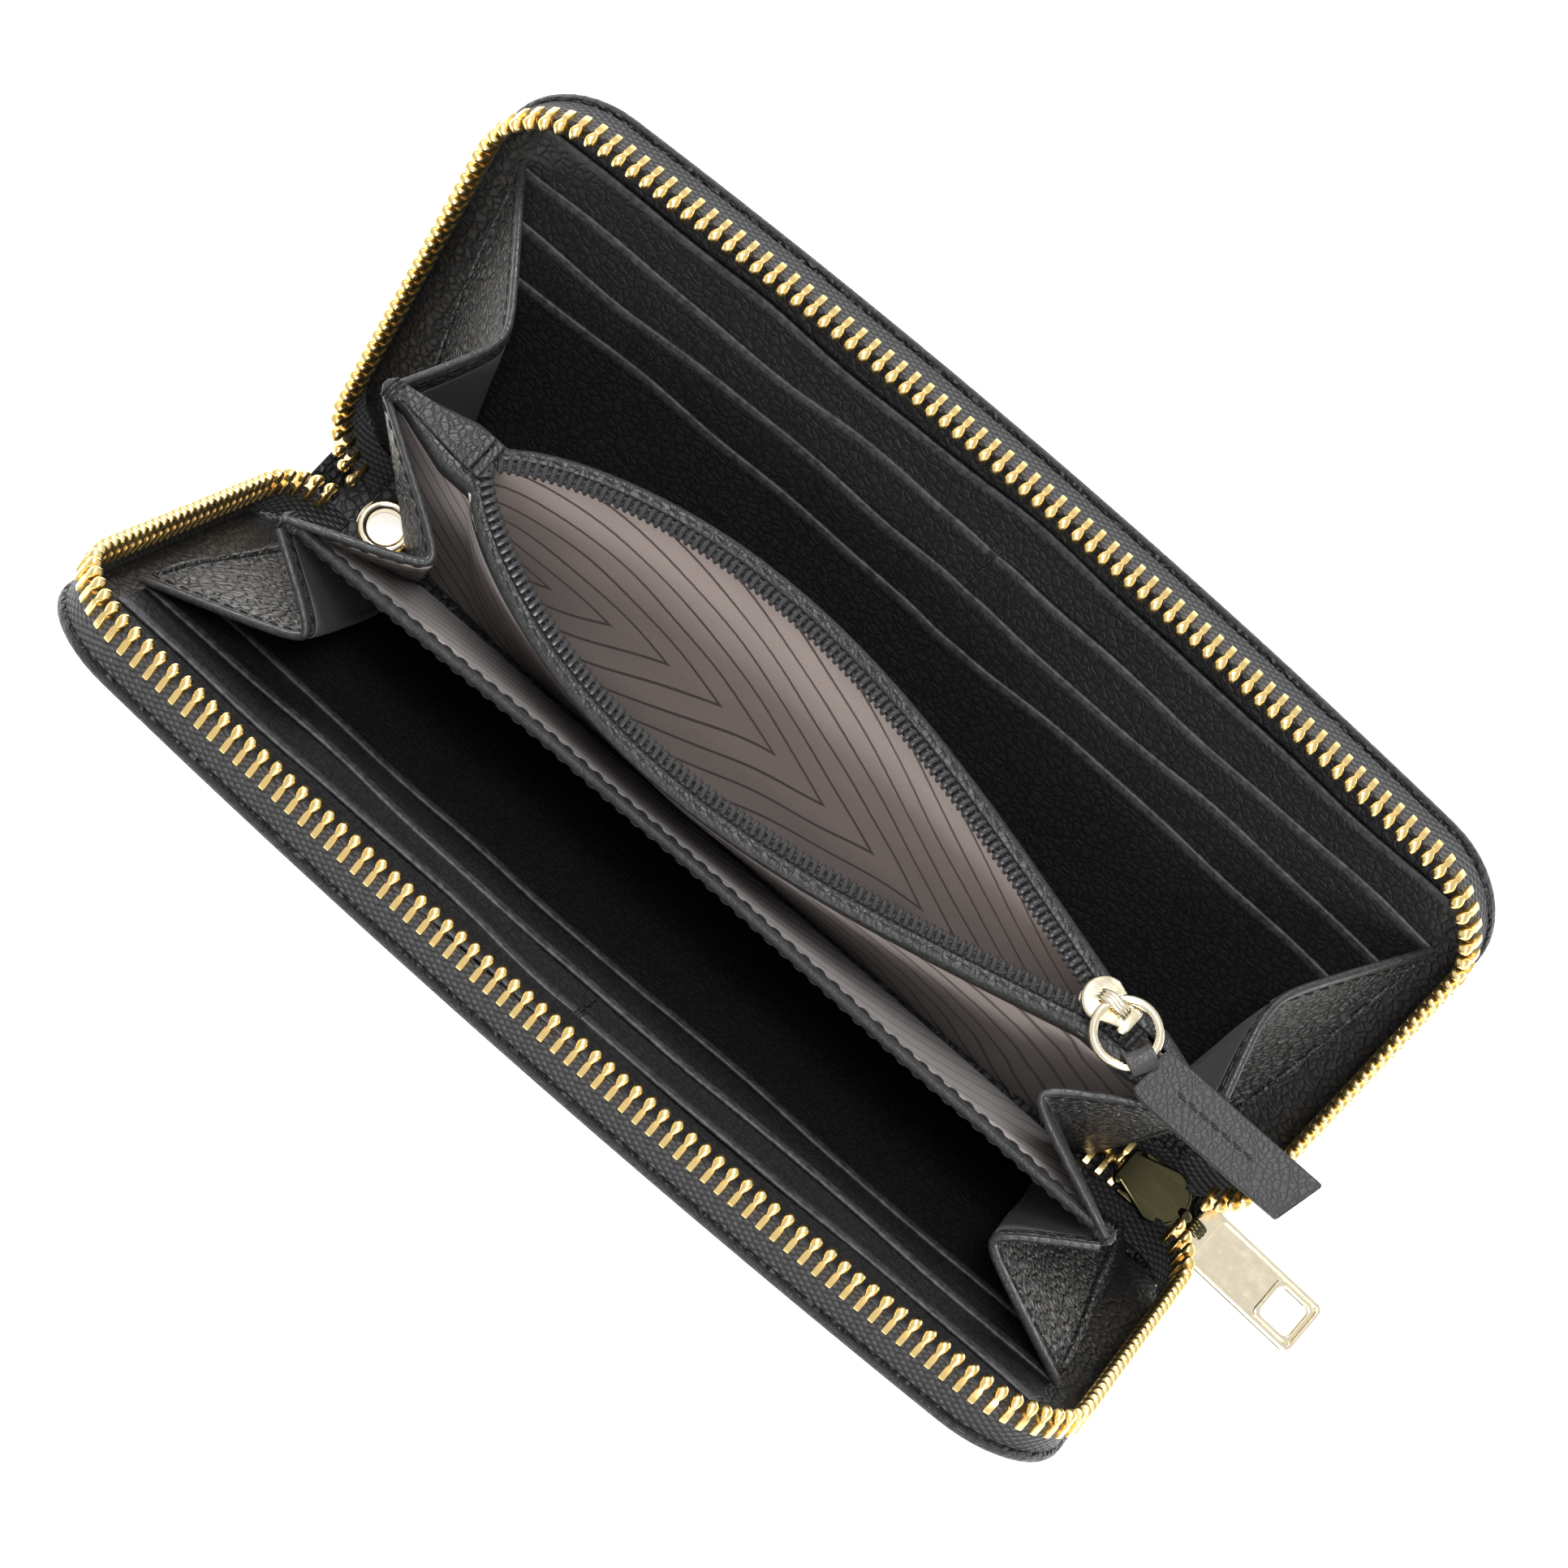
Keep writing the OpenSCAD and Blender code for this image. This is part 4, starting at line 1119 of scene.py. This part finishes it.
XS = np.linspace(-77.0, 79.5, 161)
for side in (BACK, FRONT):
    name = NAMES[side]
    seed = 1.0 if side == BACK else 2.0
    P = coin_sheet(side, 2.6, 74.9, lambda q, w: 0.45 + 1.3 * q * w, seed, 0.75)
    s = sheet(Shape(), P, 0.3, wear_rows=0)
    squashed(s.make(f"coin_lining_{name}_cloth", LINING), "lining_cloth", f"coin_lining_{name}")
    P = coin_sheet(
        side, 2.5, 75.2, lambda q, w: 0.6 + 0.9 * w + 2.5 * q * w, 3.0, 0.35, 67.2, 76.6, 79.2
    )
    s = sheet(Shape(), P, 0.8, wear_rows=0)
    look, slot = (INNER, "inner_leather") if side == BACK else (LINING_FLAT, "lining_cloth")
    squashed(s.make(f"coin_wall_{name}_sheet", look), slot, f"coin_wall_{name}")

    # the tape under the coil, then the leather band that covers it and rolls over the edge
    def strip(out0, out1, z, thick, x):
        wide = np.clip((79.5 - np.abs(x)) / 16, 0.35, 1)
        outs = [o * (wide if o > 1.5 else 1) for o in np.linspace(out0, out1, 4)]
        y = np.stack([coin_y(side, x, 1.0, o) for o in outs], 1)
        zz = np.broadcast_to(z, y.shape)
        upper = np.stack([np.broadcast_to(x[:, None], y.shape), y, zz + thick], -1)
        lower = np.stack([np.broadcast_to(x[:, None], y.shape), y, zz], -1)[:, ::-1]
        return np.concatenate([upper, lower], 1)

    s = Shape()
    x = np.linspace(-60.5, 66, 127)
    rings = strip(0.1, 3.6, 75.15, 0.45, x)
    uv = both(x[:, None], np.array([0, 1.2, 2.4, 3.6, 3.6, 2.4, 1.2, 0]))
    loft(s, rings, uv)
    squashed(s.make(f"coin_tape_{name}_ribbon", TAPE), "zip_tape", f"coin_tape_{name}")
    s = Shape()
    wide = np.clip((np.where(XS < 0, 79.5, 82.5) - np.abs(XS)) / 15, 0.36, 1)
    section = [  # the band's section, as (out from the mouth's edge, z)
        (2.05, 75.62), (2.0, 75.9), (2.2, 76.12), (2.9, 76.2), (3.7, 76.1), (4.25, 75.7),
        (4.5, 75.0), (4.5, 73.6), (4.45, 72.4), (4.1, 72.2), (3.6, 74.6), (3.2, 75.5),
    ]
    lines = [(XS, coin_y(side, XS, z / MOUTH_Z, o * wide), np.full_like(XS, z)) for o, z in section]
    rings = np.stack([np.stack(points, -1) for points in lines], 1)
    # the band's rounded top is painted lighter: partly wear, partly a painted highlight
    wear = np.tile([0.1, 0.6, 0.3, 0.0, 0.3, 0.6, 0.2, 0.0, 0.0, 0, 0, 0], len(XS))
    uv = both(XS[:, None], lengths(np.array(section)))
    loft(s, rings, uv, wear)
    squashed(s.make(f"coin_band_{name}", BAND), "inner_leather")
    s = Shape()
    x = np.linspace(-60, 62, 124)
    p = np.stack([x, coin_y(side, x, 1.0, 3.0), np.full_like(x, 76.17)], -1)
    stitches(s, p, np.array([0, 0, 1.0]), 2.6, 0.7, 0.17, skew=0.2)
    squashed(s.make(f"coin_band_{name}_stitches", THREAD), None)
    # coil: one loop of nylon after another along the mouth's edge
    s = Shape()
    x = np.linspace(-60, 66, 1200)
    edge = np.stack([x, coin_y(side, x, 1.0, 0.0), np.full_like(x, 76.05)], -1)
    run = lengths(edge)
    step = 1.26
    for k in range(int(run[-1] / step)):
        at = (k + (0.25 if side == BACK else 0.75)) * step
        c = np.array([np.interp(at, run, edge[:, i]) for i in range(3)])
        c2 = np.array([np.interp(at + 0.3, run, edge[:, i]) for i in range(3)])
        along = (c2 - c) / np.linalg.norm(c2 - c)
        outward = np.cross(along, [0, 0, 1.0]) * (-side if along[0] > 0 else side)
        outward = outward * np.sign(outward[1] * side + 1e-9)
        reach = np.array([1.75, 1.55, 0.9, 0.2, -0.15, -0.2, 0.15])
        rise = np.array([-0.25, 0.12, 0.42, 0.42, 0.1, -0.3, -0.45])
        slip = np.array([0.1, 0.08, 0.02, -0.02, -0.05, 0.05, 0.1])
        up = np.array([0, 0, 1.0])
        p = c + outward * reach[:, None] + up * rise[:, None] + along * slip[:, None]
        tube(s, p, np.array([0.30, 0.40, 0.42, 0.43, 0.45, 0.38, 0.2]), 7)
    squashed(s.make(f"coin_coil_{name}_loops", NYLON, weld=False), "coil", f"coin_coil_{name}")

# patch across the left end of the coin zip
s = Shape()
for x in (-61.6, -59.9):
    patch = rounded(box(x - 0.75, -4.3, x + 0.75, 2.1), 0.5)
    points, faces = flat_plate([patch], 0.9, 0.4)
    s.add(points + [0, 0, 76.7], faces)
patch = rounded([(-77.2, -2.5), (-61.2, -4.2), (-61.2, 1.9), (-77.2, -0.6)], 0.6)
points, faces = flat_plate([patch], 0.7, 0.28)
s.add(points + [0, 0, 76.25], faces)
on_body(s.make("coin_end_patch_tab", BAND), "spine", "inner_leather", "coin_end_patch")


# ---------------------------------------------------------------- folded tips of the gussets


def tip(shape, base, end, run, widths, flat):
    """The rolled end of a folded edge, round the point base and run mm long either way."""
    x = end * np.linspace(*run, len(widths))
    # the whole rolled tip is painted lighter: partly wear, partly a painted highlight
    tube(shape, base + np.stack([x, 0 * x, 0 * x], -1), widths, 14, flat=flat, wear=0.45)


def tacks(shape, base, end, places, reach, radius):
    """Loops of thread round such an end."""
    a = circle(14)
    for q in places:
        loop = [end * q + reach[0] * np.cos(a), reach[1] * np.cos(a), reach[2] * np.sin(a)]
        tube(shape, base + np.stack(loop, -1), radius, 6, closed=True)


s, thread_loops = Shape(), Shape()
for end, x in LEFT_AND_RIGHT:
    base = np.array([end * x, -2.3, 76.15])
    tip(s, base, end, (-2.6, 1.1), [0.7, 1.35, 1.6, 1.65, 1.65, 1.6, 1.3, 0.6], 0.62)
    tacks(thread_loops, base, end, (-1.3, -0.6, 0.1), (0.12, 1.72, 1.12), 0.22)
on_body(s.make("coin_pocket_tips", GUSSET), "spine", None)
on_body(thread_loops.make("coin_pocket_tip_tacks", THREAD), "spine", None)
s, thread_loops = Shape(), Shape()
for end, x in DIVIDER_ENDS:
    base = divider_xyz(end * x, 70.3, -0.2)
    tip(s, base, end, (-2.4, 1.1), [0.6, 1.2, 1.45, 1.5, 1.5, 1.45, 1.2, 0.5], 0.7)
    tacks(thread_loops, base, end, (-1.2, -0.5, 0.2), (0.1, 1.6, 1.15), 0.2)
on_body(s.make("divider_tips", GUSSET), "divider", None)
on_body(thread_loops.make("divider_tip_tacks", THREAD), "divider", None)


# ---------------------------------------------------------------- main slider and pull


def slider_outline(l, w, steps=28):
    """A slider's plate: a round head on its left and a body that narrows a little."""
    turns, r = np.linspace(-math.pi / 2, math.pi / 2, steps), w / 2
    head = [(-l / 2 + r - r * math.cos(a), r * math.sin(a)) for a in turns]
    tail = [(l / 2 - 1.6, w * 0.4), (l / 2, w * 0.3), (l / 2, -w * 0.3), (l / 2 - 1.6, -w * 0.4)]
    return np.array([*head, *rounded(tail, 0.9, 4)])


PULL_X, PULL_Z = 90.4, 4.4  # axis of the main pull
s = Shape()
for z, thick in ((3.0, 1.0), (6.6, 1.15)):
    points, faces = flat_plate([slider_outline(12.4, 9.6)], thick, 0.42, 4)
    dome = points.copy()
    if z > 5:
        r = np.clip((dome[:, 0] / 6.2) ** 2 + (dome[:, 1] / 4.8) ** 2, 0, 1)
        dome[:, 2] += np.where(dome[:, 2] > 0, 0.45 * (1 - r), 0)
    s.add(placed(dome, Matrix.Translation((82.0, 0, z)) @ Matrix.Rotation(math.pi, 4, "Z")), faces)
points, faces = flat_plate([rounded(box(-1.3, -1.1, 1.3, 1.1), 0.5)], 3.6, 0.2)
s.add(points + [86.3, 0, 4.8], faces)
for yy in (-3.7, 3.7):
    points, faces = flat_plate([rounded(box(77.6, yy - 0.4, 82.5, yy + 0.4), 0.3)], 1.2, 0.2)
    s.add(points + [0, 0, 5.7], faces)
a = circle(36)
p = np.stack([PULL_X + 1.72 * np.cos(a), 0 * a, PULL_Z + 1.72 * np.sin(a)], -1)
tube(s, p, 0.56, 12, closed=True, flat=1.0)
for yy in (-0.65, 0.65):
    tube(s, p + [0, yy, 0], 0.5, 12, closed=True)
knuckle = np.array([[87.0, 0, 7.0], [87.7, 0, 7.0], [88.4, 0, 6.6], [89.1, 0, 6.0], [89.7, 0, 5.6]])
tube(s, knuckle, [0.5, 0.9, 1.0, 0.9, 0.5], 12)
on_body(s.make("main_slider_body", DEEP_GOLD, weld=False), "spine", "hardware", "main_slider")

PULL_L, PULL_REST = 24, 0.85  # its length, and the height at which its tip lies
DROOP = math.asin((PULL_Z - PULL_REST) / PULL_L)
PULL_PLACE = Matrix.Translation((PULL_X, 0, PULL_Z)) @ Matrix.Rotation(DROOP, 4, "Y")
s = Shape()
body_outline = rounded(box(0.0, -4.7, PULL_L, 4.7), [1.1, 1.3, 1.3, 1.1], 6)
inner_outline = rounded(box(3.0, -3.75, 23.1, 3.75), 0.7, 5)
slot_hole = rounded(box(0.9, -1.75, 2.7, 1.75), 0.4)
window = rounded(box(16.3, -2.95, 22.2, 2.95), 1.0, 6)
frame_out = rounded(box(15.35, -3.8, 23.1, 3.8), 1.2, 6)
for plate in (
    ([body_outline, slot_hole, window], 1.2, 0.3),
    ([body_outline, inner_outline], 1.72, 0.36, 4),
    ([frame_out, window], 1.62, 0.34, 4),
):
    points, faces = flat_plate(*plate)
    s.add(placed(points, PULL_PLACE), faces)
bar = np.stack([np.zeros(9), np.linspace(-4.1, 4.1, 9), np.zeros(9)], -1)
tube(s, placed(bar, PULL_PLACE), [0.5, 0.9, 0.92, 0.92, 0.92, 0.92, 0.92, 0.9, 0.5], 14)
on_body(s.make("main_pull_plate", GOLD, weld=False), "main_pull", "hardware", "main_pull")


# ---------------------------------------------------------------- coin slider, ring and pull

COIN_X, COIN_Z = 59.0, 76.9
s = Shape()
for z, thick, high in ((COIN_Z - 2.4, 0.8, 0), (COIN_Z + 1.15, 1.1, 1)):
    points, faces = flat_plate([slider_outline(9.0, 7.0)], thick, 0.38, 4)
    if high:
        r = np.clip((points[:, 0] / 4.5) ** 2 + (points[:, 1] / 3.5) ** 2, 0, 1)
        points[:, 2] += np.where(points[:, 2] > 0, 0.7 * (1 - r), 0)
    s.add(points + [COIN_X, COIN_C, z], faces)
points, faces = flat_plate([rounded(box(-0.8, -1.0, 0.8, 1.0), 0.4)], 3.4, 0.15)
s.add(points + [COIN_X + 3.2, COIN_C, COIN_Z - 0.8], faces)
a = np.linspace(math.pi * 1.02, -math.pi * 0.02, 22)
BAIL_R = 2.45
bail = [COIN_X + BAIL_R * np.cos(a) + 0.3, COIN_C + 0 * a, COIN_Z + 1.5 + BAIL_R * np.sin(a)]
bail = np.stack(bail, -1)
for yy in (-0.55, 0.0, 0.55):
    tube(s, bail + [0, yy, 0], 0.46, 10)
on_body(s.make("coin_slider_body", GOLD, weld=False), "coin_slider", "hardware", "coin_slider")

RING_R, SWING, AXIS_Z = 4.8, math.radians(25), 79.65
RING_WAY = np.array([math.cos(SWING), -math.sin(SWING), 0])  # from the slider to the pull
ring_c = np.array([COIN_X, COIN_C, AXIS_Z]) + RING_R * RING_WAY
a = circle(72)
s = Shape()
wire = ring_c + RING_R * np.stack([np.cos(a), np.sin(a), 0 * a], -1)
tube(s, wire, 0.72, 14, closed=True)
on_body(s.make("coin_ring_wire", GOLD), "coin_ring", "hardware", "coin_ring")

HOLD = np.array([COIN_X, COIN_C, AXIS_Z]) + 2 * RING_R * RING_WAY  # where the pull hangs


def soft_coin_pull(obj, slot, *nodes):
    on_body(obj, "coin_pull", slot, *nodes)
    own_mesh(obj)
    return obj


s = Shape()
start = 1.5
corners = [  # the leather strip, as (along from start, across, radius)
    (0, -3.5, 0.2), (0.7, -4.0, 1.5), (2.0, -4.2, 1.5), (4, -4.25, 2.0), (27.2, -4.2, 0.5),
    (29.2, 4.1, 0.5), (4, 4.2, 2.0), (2.0, 4.15, 1.5), (0.7, 4.0, 1.5), (0, 3.5, 0.2),
]
outline = rounded([(start + x, y) for x, y, _ in corners], [r for _, _, r in corners], 4)
points, faces = flat_plate([outline], 1.4, 0.32, 3)
b = bmesh.new()
vs = [b.verts.new(p) for p in points]
for f in faces:
    try:
        b.faces.new([vs[i] for i in f])
    except ValueError:
        pass
for x in np.arange(start + 1.5, start + 29, 1.2):
    geom = b.verts[:] + b.edges[:] + b.faces[:]
    bmesh.ops.bisect_plane(b, geom=geom, plane_co=(x, 0, 0), plane_no=(1, 0, 0), dist=1e-5)
b.verts.index_update()
points = np.array([v.co for v in b.verts])
faces = [[v.index for v in f.verts] for f in b.faces]
b.free()


def pull_bend(p):
    """The strip rests a little lower at its far end and is slightly curved."""
    q = np.array(p, float)
    r = np.clip((q[:, 0] - start) / 29, 0, 1)
    q[:, 2] += -0.9 * r - 0.7 * np.sin(math.pi * r) * 0.5 + 0.25 * (q[:, 1] / 4.2) ** 2 * r
    return q


edge_wear = smooth((0.62 - np.abs(points[:, 2])) / 0.3) * 0.9
s.add(pull_bend(points) + HOLD, faces, None, edge_wear)
# the part of the strip that is folded round the ring
across = np.linspace(-2.1, 2.1, 9)
back = 0.5 * (RING_R - np.sqrt(RING_R**2 - across**2))
rings = []
for a in np.linspace(math.radians(35), math.radians(325), 22):
    over, under = (
        np.stack([r * math.cos(a) - back, across, np.full(9, r * math.sin(a))], -1)
        for r in (1.62 + 0.4, 1.62 - 0.33)
    )
    rings.append(np.concatenate([over, under[::-1]]))
turn = np.array(Matrix.Rotation(-SWING, 3, "Z"))
loft(s, np.array(rings) @ turn.T + HOLD, wear=0.25)
soft_coin_pull(s.make("coin_pull_strap", PULL), "pull_leather", "coin_pull")
s = Shape()
x = np.linspace(start + 5.0, start + 19.5, 24)
for face in (1.0, -1.0):
    p = np.stack([x, np.full(24, 0.1), np.full(24, face * 0.72)], -1)
    stitches(s, pull_bend(p) + HOLD, np.array([0, 0, face]), 2.0, 0.25, 0.24, skew=0.3)
soft_coin_pull(s.make("coin_pull_stitches", THREAD), None)


# ---------------------------------------------------------------- floor, light and camera

floor_mesh = bpy.data.meshes.new("floor")
b = bmesh.new()
bmesh.ops.create_grid(b, x_segments=1, y_segments=1, size=3.0)
b.to_mesh(floor_mesh)
b.free()
floor = bpy.data.objects.new("floor", floor_mesh)
floor.location.z = -0.0002
bpy.context.scene.collection.objects.link(floor)
GLOW = dict(Emission_Color=(1, 1, 1, 1), Emission_Strength=0.5)
paper = Nodes("floor_paper", (0.93, 0.93, 0.93), 0.9, **GLOW)
paper.bump(paper.noise(paper.node("TexCoord").outputs["Object"], 900.0), 0.00002)
floor.data.materials.append(paper.material)

world = bpy.data.worlds.new("studio")
bpy.context.scene.world = world
world.use_nodes = True
world.node_tree.nodes["Background"].inputs[0].default_value = (1, 1, 1, 1)
world.node_tree.nodes["Background"].inputs[1].default_value = 0.75


def softbox(name, place, target, size, power):
    light = bpy.data.lights.new(name, "AREA")
    light.shape = "RECTANGLE"
    light.size, light.size_y = size
    light.energy = power
    obj = bpy.data.objects.new(name, light)
    obj.location = place
    away = Matrix.Translation(place).translation - Matrix.Translation(target).translation
    obj.rotation_mode = "QUATERNION"
    obj.rotation_quaternion = away.to_track_quat("Z", "Y")
    bpy.context.scene.collection.objects.link(obj)


softbox("key", (-0.5, 0.7, 1.1), (0, 0, 0.04), (0.6, 0.4), 20)
softbox("fill", (0.7, -0.9, 0.9), (0, 0, 0.04), (0.5, 0.5), 11)
softbox("top", (0.1, -0.1, 1.4), (0, -0.01, 0.04), (0.35, 0.35), 13)

camera = bpy.data.cameras.new("camera")
camera.lens = 119.47
camera.sensor_width = 36
camera.clip_start, camera.clip_end = 0.05, 20
view = bpy.data.objects.new("camera", camera)
view.location = (0.06722, -0.19866, 0.79163)
view.rotation_euler = [math.radians(q) for q in (14.463, -6.084, 40.906)]
bpy.context.scene.collection.objects.link(view)
bpy.context.scene.camera = view
bpy.context.scene.view_settings.view_transform = "Standard"
